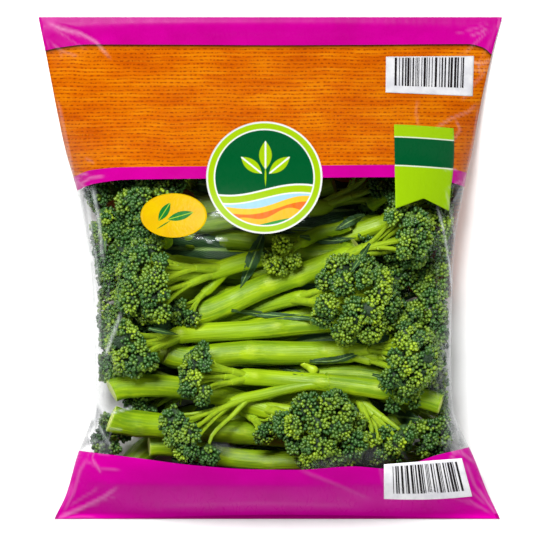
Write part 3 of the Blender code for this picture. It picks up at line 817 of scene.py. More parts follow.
def grow_head(buds, stalks, chain, rnd, fine, swell, spray=False):
    """Branches, flower stalks and buds of one head, round the end of its line."""
    p = chain["p"]
    big = chain["head"] * swell
    middle_ = p[-1]
    axis = unit(p[-1] - p[-4])
    u, w = across_of(axis)
    rho = float(np.clip((0.31 if spray else 0.36) * big + 0.0014, 0.0040, 0.0078 if spray else 0.0090))
    reach = max(big - 0.86 * rho, 0.35 * big)
    n = max(5, int(round((0.80 if spray else 0.66) * 4 * (reach / (0.78 * rho)) ** 2)))
    dirs = cap_points(n, math.cos(math.radians(84 if spray else 96 if fine else 106)), rnd.uniform(0, 6.28))
    dirs = unit(turned(dirs, axis) + rnd.normal(size=(n, 3)) * 0.10)
    if spray:  # seen from the side, so the branches show on the half that faces up
        facing = unit(np.array([0, 0, 1.0]) - axis * axis[2])
        dirs = dirs[(dirs @ axis) > 0.10 + 0.62 * np.clip(dirs @ facing, 0, 1)]
        n = len(dirs)
    size = rho * rnd.uniform(0.82, 1.18, n)
    behind = np.clip((0.6 - (dirs * axis).sum(1)) / 1.0, 0, 1)  # the lower florets stand further down the stem
    centre = middle_ + dirs * (reach * rnd.uniform(0.90, 1.10, n))[:, None] - axis * ((0.10 if spray else 0.24) * big * behind)[:, None]
    lean = unit(0.80 * dirs + 0.60 * axis)
    foot = centre - lean * size[:, None] * 0.80
    # ---- branches: the stem forks into a few, and each of those forks again
    line_s = np.concatenate([[0], np.cumsum(np.sqrt(((p[1:] - p[:-1]) ** 2).sum(1)))])
    total = line_s[-1]
    at = lambda s: np.array([np.interp(s, line_s, p[:, k]) for k in range(3)])
    neck = float(np.interp(total - 1.9 * chain["head"], line_s, chain["r"]))
    stem_at = total - 1.50 * chain["head"]  # where the stem itself ends, thinned to 0.62 of its neck
    groups = 3 if big > 0.0155 else 2
    angle = np.arctan2((dirs * w).sum(1), (dirs * u).sum(1))
    polar = (dirs * axis).sum(1)
    group = ((angle + rnd.uniform(0, 6.28)) / (2 * math.pi / groups)).astype(int) % groups
    group[polar > 0.80] = groups  # the middle of the head grows straight on
    for g in range(groups + 1):
        members = np.nonzero(group == g)[0]
        if not len(members):
            continue
        mean = foot[members].mean(0)
        if g == groups:
            fork_s = stem_at - 0.004
            thick = neck * 0.64
        else:
            fork_s = total - chain["head"] * (2.25 - 0.40 * rnd.uniform())
            thick = neck * (0.50 + 0.035 * min(len(members), 4))
        start = at(fork_s)
        t0 = unit(at(fork_s + 0.003) - at(fork_s - 0.003))
        first = start - t0 * (0.001 if g == groups else 0.004)
        knot = start + (mean - start) * (0.46 if len(members) > 1 else 0.7)
        way = unit(mean - start)
        pts = bend(first, t0, knot, unit(way + 0.2 * t0), 9)
        rr = np.linspace(thick, thick * 0.78, 9)
        col = np.zeros((9, 4))
        col[:, 0] = 0.50
        col[:, 2] = rnd.uniform()
        add_tube(stalks, pts, rr, 11 if fine else 7, 1, col, relief=lambda s, a: 1 + 0.04 * np.cos(3 * a + 60 * s[:, None]))
        TALLEST.append(np.column_stack([pts[:, :2], pts[:, 2] + rr]))
        t1 = unit(pts[-1] - pts[-2])
        for k in members:
            sub = max(min(thick * 0.70, size[k] * 0.24), 0.0010)
            pts = bend(knot - t1 * 0.002, unit(t1 + 0.5 * (foot[k] - knot) / np.linalg.norm(foot[k] - knot)),
                       foot[k] + lean[k] * size[k] * 0.25, lean[k], 6)
            rr = np.linspace(sub, sub * 0.62, 6)
            col = np.zeros((6, 4))
            col[:, 0] = 0.62 + 0.2 * rnd.uniform()
            # painted shade: the sub-branch is marked darker towards its buds
            col[:, 1] = np.linspace(0, 0.35, 6)
            col[:, 2] = rnd.uniform()
            add_tube(stalks, pts, rr, 8 if fine else 5, 1, col)
            if fine and rnd.uniform() < 0.35:  # a small leaf or a dropped bud's stalk on it
                j = int(rnd.integers(2, 5))
                out_ = unit(across_of(pts[j + 1] - pts[j])[0] * rnd.normal() + across_of(pts[j + 1] - pts[j])[1] * rnd.normal())
                tip_ = pts[j] + unit(out_ + 0.8 * unit(pts[j + 1] - pts[j])) * rnd.uniform(0.003, 0.006)
                col2 = np.zeros((4, 4))
                col2[:, 0] = 0.7
                add_tube(stalks, bend(pts[j], out_, tip_, unit(tip_ - pts[j]), 4), np.array([0.0007, 0.0006, 0.00055, 0.0008]), 5, 1, col2)
            TALLEST.append(np.column_stack([pts[:, :2], pts[:, 2] + rr]))
    # ---- buds
    spacing = 0.00268 if fine else 0.00305
    # a head's own tone, with painted shade for the darker heads at the left edge
    tone_and_shade = rnd.uniform(-0.10, 0.22) + TONES_AND_SHADE.get(SHOOTS[chain["shoot"]][0], 0.0)
    for k in range(n):
        rad = size[k]
        count = int((5.8 if spray else 7.8) * rad * rad / (0.87 * spacing**2))
        d = cap_points(count, math.cos(math.radians(84 if spray else 102)), rnd.uniform(0, 6.28))
        d = unit(d + rnd.normal(size=(count, 3)) * 0.07)
        bunches = max(5, count // 9)
        b = unit(cap_points(bunches, math.cos(math.radians(94)), rnd.uniform(0, 6.28)) + rnd.normal(size=(bunches, 3)) * 0.14)
        dots = d @ b.T
        mine = dots.argmax(1)
        near = np.arccos(np.clip(dots.max(1), -1, 1)) / math.sqrt(2 * 1.07 / bunches) / 1.1
        depth = rad - 0.0009 * np.clip(near, 0, 1.4) ** 2 + rnd.normal(size=count) * 0.00042
        depth = depth * (1 + 0.04 * rnd.normal(size=bunches)[mine])
        world, bunch = turned(d, lean[k]), turned(b, lean[k])
        tip = centre[k] + world * depth[:, None]
        size_f = rnd.normal(1.0, 0.10, count) * (1.0 - 0.10 * (dots.max(1) > 0.97))
        young = np.where(rnd.uniform(size=bunches) < 0.20, 0.84, 1.0)[mine]
        length, radius = 0.00390 * size_f * young, 0.00121 * size_f * young * rnd.normal(1, 0.07, count)
        if not fine:
            length, radius = length * 1.06, radius * 1.12
        way = unit(world + 0.50 * (world - bunch[mine]) + rnd.normal(size=(count, 3)) * 0.11)
        base = tip - way * length[:, None]
        keep = np.ones(count, bool)
        for j in range(n):
            if j != k:
                keep &= ((tip - centre[j]) ** 2).sum(1) > (0.90 * size[j]) ** 2
        keep &= clear_of_stems(tip, chain["shoot"], 0.0004)
        keep &= tip[:, 2] > back_height(tip[:, 0], tip[:, 1]) + 0.0006
        keep &= (tip[:, 2] < room(tip[:, 0], tip[:, 1])) & (across(tip[:, 0], tip[:, 1]) < 0.975)
        keep &= tip[:, 1] > (PLAN_Y - 487) * GRID
        if keep.sum() < 3:
            continue
        polar_ = d[:, 2]
        any_ = rnd.uniform(0, 1, count)
        yellow = (0.06 if fine else 0.0) + tone_and_shade + 0.15 * rnd.normal() + 0.34 * np.clip((polar_ - 0.35) / 0.65, 0, 1) * rnd.uniform(-0.1, 1.2)
        yellow = yellow + 0.30 * max(0.0, polar[k] - 0.75) / 0.25 * rnd.uniform()
        yellow = yellow + 0.19 * rnd.normal(size=bunches)[mine] + 0.11 * rnd.normal(size=count)
        yellow = yellow + 0.35 * np.clip(0.1 - polar_, 0, 0.6)
        yellow = np.clip(yellow, 0, 1)
        add_buds(buds, FINE_BUD if fine else PLAIN_BUD, base[keep], way[keep], length[keep], radius[keep], yellow[keep], any_[keep])
        TALLEST.append(tip[keep])
        # flower stalks, from the foot of each little bunch to its buds
        root = foot[k] + lean[k] * rad * 0.25
        knots = centre[k] + bunch * (rad * 0.34) - lean[k] * rad * 0.08
        shown = np.unique(mine[keep])
        add_threads(buds, np.repeat(root[None], len(shown), 0), knots[shown], 0.00072, 0.00056,
                    np.full(len(shown), 0.8), rnd.uniform(0, 1, len(shown)), 1)
        pick = keep & ((any_ < (0.95 if fine else 0.35)) | (polar_ < 0.2))
        add_threads(buds, knots[mine[pick]], base[pick] + way[pick] * 0.0005, 0.00044, 0.00036,
                    np.clip(0.5 + yellow[pick] * 0.7, 0, 1), any_[pick], 1)
        # the dark middle: crowded stalks, dark as painted shade between the buds
        if keep.mean() < 0.22 or across(centre[k:k + 1, 0], centre[k:k + 1, 1])[0] > 0.90 or centre[k, 1] < (PLAN_Y - 478) * GRID \
                or centre[k, 2] + 0.6 * rad > room(centre[k:k + 1, 0], centre[k:k + 1, 1])[0]:
            continue
        side, levels = (9, 5) if fine else (7, 4)
        th = np.linspace(0.30, 1.75 if spray else math.pi - 0.35, levels)[::-1]
        inner = (rad * 0.62 if spray else rad - 0.0031) * (1 - 0.50 * np.clip((th - 1.35) / 1.4, 0, 1) ** 1.5)
        inner = np.maximum(inner, 0.0010)
        a = np.arange(side) * 2 * math.pi / side
        cu, cw = across_of(lean[k])
        rings = []
        for q, h in zip(th, inner):
            rr = h * (1 + 0.10 * rnd.normal(size=side))
            rings.append(centre[k] + lean[k] * (rr * math.cos(q))[:, None]
                         + (rr * math.sin(q))[:, None] * (np.cos(a)[:, None] * cu + np.sin(a)[:, None] * cw))
        v = np.vstack(rings + [[centre[k] - lean[k] * inner[0]], [centre[k] + lean[k] * inner[-1]]])
        v[:, 2] = np.clip(v[:, 2], back_height(v[:, 0], v[:, 1]) + 0.0012, np.maximum(room(v[:, 0], v[:, 1]) - 0.0015, 0.002))
        f = tube_faces(levels, side)
        kk = np.arange(side)
        tris = np.vstack([np.stack([(kk + 1) % side, kk, np.full(side, levels * side)], 1),
                          np.stack([(levels - 1) * side + kk, (levels - 1) * side + (kk + 1) % side,
                                    np.full(side, levels * side + 1)], 1)])
        colour = np.zeros((len(v), 4))
        # green: how far towards the buds, where the core is painted darkest
        colour[:, 1] = np.clip(((v - foot[k]) @ lean[k]) / (1.5 * rad), 0, 1)
        buds.add(v, tris, f, 2, colour, v)


# Scars and stubs where leaves and side shoots were: shoot, plan point
SCARS = (
    ("shoot_02", (270, 283)), ("shoot_02", (330, 262)), ("shoot_07", (250, 357)), ("shoot_06", (277, 330)),
    ("shoot_06", (180, 340)), ("shoot_10", (240, 436)), ("shoot_01", (322, 391)), ("shoot_01", (254, 381)),
    ("shoot_07", (326, 353)), ("shoot_04", (300, 259)), ("shoot_01", (375, 404)), ("shoot_09", (250, 402)),
    ("shoot_03", (300, 297)), ("shoot_12", (215, 459)), ("shoot_14", (300, 208)),
)


# Heads that fill out less or more than the others of their kind
SWELLS = {"shoot_23": 1.02, "shoot_25": 1.15}

# How much yellower than the rest a head is. The heads given less, all at the left edge, are darker partly by their own
# colour and partly as painted shade.
TONES_AND_SHADE = {"shoot_13": 0.30, "shoot_09": 0.08, "shoot_10": 0.10, "shoot_07": 0.06, "shoot_05": -0.20, "shoot_18": -0.16,
         "shoot_04": -0.07, "shoot_19": -0.12, "shoot_21": -0.10, "shoot_15": -0.08}

# Heads that lie on their side, so the camera sees their branches
SPRAYS = (("shoot_02", False), ("shoot_04", False), ("shoot_04", True), ("shoot_06", False), ("shoot_01", False),
          ("shoot_01", True), ("shoot_07", False), ("shoot_09", True), ("shoot_10", False), ("shoot_11", False),
          ("shoot_08", False))

# Stems whose cut end stands a little further in than their solid: length in metres
TRIMMED = {"shoot_09": 0.0035}

# Side heads low in the heap, which fill it to its edges: shoot, plan points from foot to head, size in mm, height share
FILLERS = (
    ("shoot_27", (376, 274), (402, 274), 11.0, 0.42), ("shoot_29", (384, 362), (404, 366), 10.0, 0.40),
    ("shoot_17", (400, 218), (436, 228), 11.5, 0.50), ("shoot_20", (404, 270), (438, 280), 11.5, 0.50),
    ("shoot_22", (404, 345), (438, 338), 11.5, 0.50), ("shoot_24", (404, 400), (438, 390), 11.0, 0.50),
    ("shoot_24", (400, 425), (432, 438), 10.5, 0.48), ("shoot_16", (380, 322), (402, 318), 11.0, 0.62),
    ("shoot_20", (380, 250), (402, 250), 10.0, 0.60), ("shoot_14", (380, 200), (404, 190), 9.5, 0.58),
    ("shoot_22", (380, 385), (402, 392), 10.0, 0.60), ("shoot_24", (370, 440), (386, 446), 10.0, 0.55),
    ("shoot_18", (140, 222), (110, 226), 10.5, 0.50), ("shoot_19", (140, 280), (112, 274), 10.5, 0.50),
    ("shoot_21", (140, 330), (110, 328), 10.5, 0.50), ("shoot_21", (146, 366), (114, 366), 9.0, 0.44),
    ("shoot_23", (160, 404), (132, 405), 9.0, 0.40), ("shoot_19", (160, 238), (142, 226), 10.0, 0.60),
)


def filler_chain(k, foot, top, big, share):
    rows = []
    for px, py in (foot, top):
        x, y, _ = to_metres([(px, py)], 0.03)[0]
        low, high = float(back_height(np.array([x]), np.array([y]))[0]), float(film_height(np.array([x]), np.array([y]))[0])
        rows.append((x, y, low + (high - low) * share, high - low))
    big = min(big / 1e3, 0.46 * rows[1][3] / 1.2)
    a, b = np.array(rows[0][:3]) - [0, 0, 0.30 * rows[0][3]], np.array(rows[1][:3])
    b = b - unit(b - a) * big * 0.2
    a = b - unit(b - a) * max(np.linalg.norm(b - a), 3.0 * big)
    a[2] = max(a[2], float(back_height(a[:1], a[1:2])[0]) + 0.0066)
    n = 12
    p = bend(a, unit(b - a + [0, 0, -0.004]), b, unit(b - a), n)
    return {"p": p, "r": np.full(n, 0.0026), "head": big, "shoot": k, "root": 0}


def grow_shoot(k):
    name, layer = SHOOTS[k][0], SHOOTS[k][1]
    rnd = np.random.default_rng(1000 + k)
    fine = max(layer) >= 2 if isinstance(layer, tuple) else layer >= 2
    buds, stalks = Soup(), Soup()
    fillers = [filler_chain(k, *row[1:]) for row in FILLERS if row[0] == name]
    for chain in [c for c in CHAINS if c["shoot"] == k] + fillers:
        p, r = chain["p"], chain["r"].copy()
        s = np.concatenate([[0], np.cumsum(np.sqrt(((p[1:] - p[:-1]) ** 2).sum(1)))])
        end = s[-1] - 1.50 * chain["head"]
        cut, neck = r[0], float(np.interp(s[-1] - 1.9 * chain["head"], s, r))
        is_side = chain["root"] is not None
        step = 0.0020 if fine else 0.0030
        m = max(int(end / step), 8)
        q = np.linspace(0, end, m)
        line = np.stack([np.interp(q, s, p[:, j]) for j in range(3)], 1)
        for _ in range(3):
            line[1:-1] = 0.25 * line[:-2] + 0.5 * line[1:-1] + 0.25 * line[2:]
        if not is_side:  # a cut end is stiff and straight, as far as the film leaves room
            i0 = int(np.searchsorted(q, 0.020))
            way = unit(line[i0 + 4] - line[i0])
            straight = line[i0] - way * (q[i0] - q[:i0, None])
            roof = film_height(straight[:, 0], straight[:, 1]) + FILM + PUFF - 0.0016 - r[0]
            floor_ = back_height(straight[:, 0], straight[:, 1]) + r[0] + 0.0008
            straight[:, 2] = np.maximum(np.minimum(np.maximum(straight[:, 2], line[:i0, 2]), np.maximum(roof, line[:i0, 2])), floor_)
            line[:i0, 2] = straight[:, 2]
            if name in TRIMMED:
                line = line[int(np.searchsorted(q, TRIMMED[name])):]
                m = len(line)
                q = q[:m]
                end = q[-1]
        rad = cut + (neck - cut) * q / end
        late = np.clip((q - (end - 0.50 * chain["head"])) / (0.50 * chain["head"]), 0, 1)
        rad = rad * (1 + 0.10 * np.sin(late * math.pi) * (not is_side)) * (1 - 0.36 * late ** 1.2)
        if is_side:
            rad = rad * (1 + 0.9 * np.clip(1 - q / 0.012, 0, 1) ** 2)
        t, u, v = frames_along(line)
        # scars: along the stem, round it, height, length
        scars = []
        for who, (px, py) in SCARS:
            if who == name and not is_side:
                place = to_metres([(px, py)], line[:, 2].mean())[0]
                i = int(((line[:, :2] - place[:2]) ** 2).sum(1).argmin())
                around = math.atan2(np.array([0, 0.25, 1.0]) @ v[i], np.array([0, 0.25, 1.0]) @ u[i])
                scars.append((q[i], around, 0.20, 0.0042))
        place, side = 0.016 + 0.012 * rnd.uniform(), rnd.uniform(0, 6.28)
        while place < end - 0.012 and not is_side:
            if all(abs(place - o[0]) > 0.012 for o in scars):
                scars.append((place, side, 0.10 + 0.08 * rnd.uniform(), 0.0032))
            place += 0.024 + 0.022 * rnd.uniform()
            side += 2.4
        ph = rnd.uniform(0, 6.28, 6)

        def relief(ss, a, scars=scars, ph=ph):
            ss, a = ss[:, None], a[None]
            out = 1 + 0.020 * np.cos(3 * a + ph[0] + 9 * ss) + 0.024 * np.cos(5 * a + ph[1] - 12 * ss)
            out = out + 0.012 * np.cos(8 * a + ph[2] + 7 * ss) + 0.008 * np.cos(2 * a + ph[3] + 40 * ss)
            for at_s, at_a, high, wide in scars:
                da = (a - at_a + math.pi) % (2 * math.pi) - math.pi
                bump = np.exp(-((ss - at_s) / wide) ** 2 - (da / 0.55) ** 2)
                notch = np.exp(-((ss - at_s - 0.35 * wide) / (0.35 * wide)) ** 2 - (da / 0.30) ** 2)
                ring = np.exp(-((ss - at_s) / (1.3 * wide)) ** 2)
                out = out + 1.1 * high * bump - 0.8 * high * notch + 0.030 * ring
            return out

        sides = 20 if fine else 12
        col = np.zeros((m, sides, 4))
        a = np.arange(sides) * 2 * math.pi / sides
        for at_s, at_a, high, wide in scars:
            da = (a[None] - at_a + math.pi) % (2 * math.pi) - math.pi
            col[..., 0] += np.exp(-((q[:, None] - at_s - 0.3 * wide) / (0.55 * wide)) ** 2 - (da / 0.32) ** 2) * min(high * 4.5, 0.75)
        col[..., 2] = np.clip((q / end)[:, None], 0, 1) ** 2
        relief_r = rad[:, None] * relief(q, a)
        ring = line[:, None] + relief_r[..., None] * (np.cos(a)[None, :, None] * u[:, None] + np.sin(a)[None, :, None] * v[:, None])
        face = unit(np.array([-t[0, 0], -t[0, 1], 0.0])) + [0, 0, 0.14 + 0.10 * rnd.uniform()]
        slant = 0.0 if is_side else 1.0

        def skew(offset):
            """How far a point of the cut end is moved along the stem."""
            return np.clip(-(offset @ face) / (t[0] @ face), -1.8 * cut, 1.8 * cut) * slant

        for i in range(min(8, m)):
            ring[i] += t[0] * (skew(ring[i] - line[i]) * max(0.0, 1 - q[i] / 0.018))[:, None]
        flow = np.stack([np.repeat(q, sides), (relief_r * np.cos(a)).ravel(), (relief_r * np.sin(a)).ravel()], 1)
        verts, colours, flows = [ring.reshape(-1, 3)], [col.reshape(-1, 4)], [flow]
        total = m * sides
        quads = [tube_faces(m, sides)]
        tris = []
        kk = np.arange(sides)
        # the cut face: a small bevel, then rings to the middle, a little uneven
        slope = rnd.normal(size=2) * (0.05 if not is_side else 0.0)
        prev = 0
        for share, back in ((0.965, 0.00035), (0.90, 0.00045), (0.60, 0.00030), (0.25, 0.00012)):
            rr = relief_r[0] * share
            off = rr[:, None] * (np.cos(a)[:, None] * u[0] + np.sin(a)[:, None] * v[0])
            pos = line[0] + off + t[0] * skew(off)[:, None]
            pos = pos - t[0] * back + t[0] * (rr * (np.cos(a) * slope[0] + np.sin(a) * slope[1]))[:, None]
            verts.append(pos)
            c = np.zeros((sides, 4))
            c[:, 1] = 1.0 if share < 0.95 else 0.6
            colours.append(c)
            flows.append(np.stack([np.zeros(sides), rr * np.cos(a), rr * np.sin(a)], 1))
            quads.append(np.stack([prev + (kk + 1) % sides, prev + kk, total + kk, total + (kk + 1) % sides], 1))
            prev = total
            total += sides
        verts.append(line[:1] - t[:1] * 0.0001)
        colours.append(np.array([[0, 1.0, 0, 0]]))
        flows.append(np.zeros((1, 3)))
        tris.append(np.stack([prev + (kk + 1) % sides, prev + kk, np.full(sides, total)], 1))
        total += 1
        verts.append(line[-1:] + t[-1:] * rad[-1] * 0.6)
        colours.append(np.array([[0, 0, 1.0, 0]]))
        flows.append(np.array([[end, 0, 0]]))
        last = (m - 1) * sides
        tris.append(np.stack([last + kk, last + (kk + 1) % sides, np.full(sides, total)], 1))
        stalks.add(np.vstack(verts), np.vstack(tris), np.vstack(quads), 0, np.vstack(colours), np.vstack(flows))
        TALLEST.append(ring.reshape(-1, 3))
        spray = (name, is_side) in SPRAYS
        swell = SWELLS.get(name, 1.26 if spray else 1.20 if fine else 1.38)
        grow_head(buds, stalks, chain, rnd, fine, swell, spray)
    stalk = stalks.make(name + "_stalk", [STALK, BRANCH])
    stalk.data.set_sharp_from_angle(angle=math.radians(44))
    flower = buds.make(name + "_flowers", [BUD, BRANCH, CORE])
    for o in (stalk, flower):
        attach(o, "root")
    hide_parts(name)
    return stalks.count(), buds.count()


def stem_tops(x, y, limit):
    """The highest stem or head under the height limit at each point, and the lowest underside over it."""
    out = back_height(x, y) + 0.0004
    roof = np.full(x.shape, 1.0)
    for q, r, level in zip(ALL_P, ALL_R, ALL_L):
        d2 = (x - q[0]) ** 2 + (y - q[1]) ** 2
        if q[2] + r > limit or (limit < 0.1 and level > 1.6):
            hit = d2 < (1.25 * r) ** 2
            roof = np.where(hit, np.minimum(roof, q[2] - np.sqrt(np.maximum((1.25 * r) ** 2 - d2, 0))), roof)
            continue
        hit = d2 < (1.05 * r) ** 2
        out = np.where(hit, np.maximum(out, q[2] + np.sqrt(np.maximum((1.05 * r) ** 2 - d2, 0))), out)
    return out, roof


# Leaves: shoot, plan points from foot to tip, widest half width in mm, the
# height they lie under (metres), how deeply the edge waves
LEAVES = (
    ("shoot_13", ((263, 232), (257, 248), (249, 268), (240, 288)), 4.1, 0.2, 0.5),
    ("shoot_02", ((369, 244), (360, 258), (349, 273)), 1.9, 0.2, 0.4),
    ("shoot_06", ((231, 311), (262, 315), (296, 318), (330, 320)), 1.9, 0.2, 0.4),
    ("shoot_07", ((310, 362), (336, 361), (364, 352)), 2.4, 0.2, 0.4),
    ("shoot_08", ((279, 369), (292, 372), (306, 376)), 1.6, 0.2, 0.3),
    ("shoot_01", ((372, 374), (392, 380), (416, 399)), 2.2, 0.2, 0.4),
    ("shoot_05", ((103, 230), (104, 242), (105, 254)), 1.2, 0.2, 0.2),
    ("shoot_06", ((150, 328), (163, 331), (178, 335)), 1.4, 0.2, 0.3),
    ("shoot_14", ((232, 226), (262, 228), (296, 232)), 2.6, 0.2, 0.5),
    ("shoot_17", ((300, 236), (330, 240), (356, 238)), 2.4, 0.2, 0.4),
    ("shoot_26", ((180, 182), (240, 184), (320, 186), (380, 188)), 9.0, 0.030, 0.9),
    ("shoot_18", ((120, 246), (180, 248), (250, 250), (310, 252)), 8.5, 0.044, 0.9),
    ("shoot_17", ((250, 226), (310, 228), (370, 232), (430, 240)), 8.5, 0.044, 0.9),
    ("shoot_19", ((130, 322), (190, 318), (250, 316), (320, 312)), 9.0, 0.046, 0.9),
    ("shoot_20", ((420, 296), (360, 294), (300, 292), (230, 290)), 8.5, 0.046, 0.9),
    ("shoot_22", ((430, 366), (370, 368), (300, 370), (230, 368)), 9.0, 0.046, 0.9),
    ("shoot_21", ((130, 372), (190, 370), (240, 368)), 8.0, 0.046, 0.9),
    ("shoot_23", ((120, 420), (180, 424), (250, 420), (320, 416)), 9.0, 0.044, 0.9),
    ("shoot_24", ((420, 420), (370, 418), (320, 410)), 8.0, 0.044, 0.9),
    ("shoot_25", ((170, 462), (240, 466), (320, 464), (390, 456)), 8.0, 0.036, 0.9),
    ("shoot_28", ((130, 290), (190, 300), (260, 306)), 8.0, 0.030, 0.9),
    ("shoot_29", ((410, 330), (350, 336), (290, 344)), 8.0, 0.030, 0.9),
    ("shoot_30", ((400, 446), (330, 448), (260, 446)), 8.0, 0.030, 0.9),
    ("shoot_17", ((424, 196), (430, 250), (426, 310)), 9.0, 0.034, 0.7),
    ("shoot_22", ((426, 296), (430, 350), (424, 420)), 9.0, 0.034, 0.7),
    ("shoot_21", ((126, 300), (122, 350), (128, 410)), 8.0, 0.034, 0.7),
    ("shoot_14", ((366, 214), (351, 221), (336, 230)), 2.7, 0.2, 0.5),
    ("shoot_19", ((150, 240), (146, 290), (150, 340)), 10.0, 0.034, 0.7),
    ("shoot_26", ((200, 206), (270, 209), (340, 209), (410, 204)), 9.0, 0.030, 0.9),
)


def grow_leaf(number, who, points, wide, limit, wave):
    """A long blade that lies on whatever is under it, with a midrib, side veins and a wavy edge."""
    rnd = np.random.default_rng(500 + number)
    flat = to_metres(points, 0.05)
    n, m = 34, 13
    line, length = through(flat, n)
    t = unit(np.gradient(line, axis=0)) * [1, 1, 0]
    t = unit(t)
    side = np.stack([-t[:, 1], t[:, 0], np.zeros(n)], 1)
    s = np.linspace(0, 1, n)
    half = wide / 1e3 * np.clip(np.sin(np.clip(s * 1.02, 0, 1) ** 0.85 * math.pi), 0, 1) ** 0.75
    half = np.maximum(half, 0.0007 * (1 - s) + 0.0002)
    u = np.linspace(-1, 1, m)
    jag = 1 + 0.10 * wave * np.sin(s * length * 1400 + rnd.uniform(0, 6))
    x = line[:, 0:1] + side[:, 0:1] * (half * jag)[:, None] * u
    y = line[:, 1:2] + side[:, 1:2] * (half * jag)[:, None] * u
    if limit < 0.1:
        x = middle(y) + np.clip(x - middle(y), -0.86 * half_width(y), 0.86 * half_width(y))
    z, roof = stem_tops(x, y, limit)
    for _ in range(8):  # a leaf is stiff: it spans the gaps
        mean = z.copy()
        mean[1:-1] = (z[:-2] + z[1:-1] + z[2:]) / 3
        mean[:, 1:-1] = (mean[:, :-2] + mean[:, 1:-1] + mean[:, 2:]) / 3
        z = np.maximum(z, mean)
    z = z + 0.0007 + 0.0022 * wave * np.abs(u) ** 2 * np.sin(s[:, None] * length * 330 + rnd.uniform(0, 6) + 2 * np.sign(u)) * (half / half.max())[:, None]
    z = z - 0.0006 * np.exp(-(u / 0.12) ** 2)
    z = np.minimum(np.minimum(z, film_height(x, y) - 0.0006), roof - 0.0012)
    z = np.maximum(z, back_height(x, y) + 0.0006)
    top = np.stack([x, y, z], -1)
    thick = 0.0004 + 0.0008 * np.exp(-(u / 0.10) ** 2) * (1 - s[:, None])
    low = top - np.stack([np.zeros_like(z), np.zeros_like(z), np.broadcast_to(thick, z.shape)], -1)
    soup = Soup()
    flow = np.stack([np.broadcast_to((s * length * 10)[:, None], z.shape), np.broadcast_to(u, z.shape), np.zeros_like(z)], -1)
    i, k = np.meshgrid(np.arange(n - 1), np.arange(m - 1), indexing="ij")
    a = i * m + k
    up = np.stack([a, a + m, a + m + 1, a + 1], -1).reshape(-1, 4)
    count = n * m
    rim = np.concatenate([np.arange(m), np.arange(1, n) * m + m - 1, (n - 1) * m + np.arange(m - 2, -1, -1), np.arange(n - 2, 0, -1) * m])
    k = np.arange(len(rim))
    wall = np.stack([rim[k], rim[(k + 1) % len(rim)], count + rim[(k + 1) % len(rim)], count + rim[k]], 1)
    turn = (side[0, 0] * t[0, 1] - side[0, 1] * t[0, 0]) > 0
    quads = np.vstack([up, up[:, ::-1] + count, wall[:, ::-1]])
    soup.add(np.vstack([top.reshape(-1, 3), low.reshape(-1, 3)]), None, quads if turn else quads[:, ::-1], 0,
             None, np.vstack([flow.reshape(-1, 3)] * 2))
    o = soup.make(f"{who}_leaf_{number:02d}", [LEAF])
    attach(o, "root")
    if limit > 0.1:
        TALLEST.append(top.reshape(-1, 3))
    return soup.count()


def cut_stub():
    """The pale end of a side shoot that was cut off."""
    a, b = on_pile((303, 364)), on_pile((317, 374))
    soup = Soup()
    p = bend(a - [0, 0, 0.003], b - a, b + [0, 0, 0.001], b - a + [0, 0, 0.002], 9)
    col = np.zeros((9, 4))
    col[:, 0] = 1.0
    col[:, 2] = 0.4
    add_tube(soup, p, np.array([2.0, 2.1, 2.3, 2.1, 2.2, 2.7, 3.1, 2.9, 2.3]) / 1e3, 14, 0, col, tip=0.2,
             relief=lambda s, a: 1 + 0.06 * np.cos(4 * a + 300 * s[:, None]))
    o = soup.make("cut_stub", [BRANCH])
    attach(o, "root")


def on_pile(point):
    x, y, _ = to_metres([point], 0.06)[0]
    z = float(stem_tops(np.array([x]), np.array([y]), 0.2)[0][0])
    return np.array([x, y, z + 0.001])


counts = [grow_shoot(k) for k in range(len(SHOOTS))]
leaf_count = sum(grow_leaf(k, *leaf) for k, leaf in enumerate(LEAVES))
cut_stub()
print("leaf triangles", leaf_count)
print("stalk triangles", sum(a for a, b in counts), "flower triangles", sum(b for a, b in counts))


# ---------------------------------------------------------------- the shape of the film
EYE_X, EYE_Y = (275 - PLAN_X) * GRID, (PLAN_Y - 275) * GRID
CELL = 0.00125
GX = np.arange(-0.1425, 0.1426, CELL)
GY = np.arange(-0.1550, 0.1551, CELL)


def sampled(grid, x, y):
    i = np.clip((x - GX[0]) / CELL, 0, len(GX) - 1.001)
    j = np.clip((y - GY[0]) / CELL, 0, len(GY) - 1.001)
    a, b = i.astype(int), j.astype(int)
    s, t = i - a, j - b
    return ((grid[b, a] * (1 - s) + grid[b, a + 1] * s) * (1 - t)
            + (grid[b + 1, a] * (1 - s) + grid[b + 1, a + 1] * s) * t)


def smooth_step(x, a, b):
    t = np.clip((x - a) / (b - a), 0, 1)
    return t * t * (3 - 2 * t)


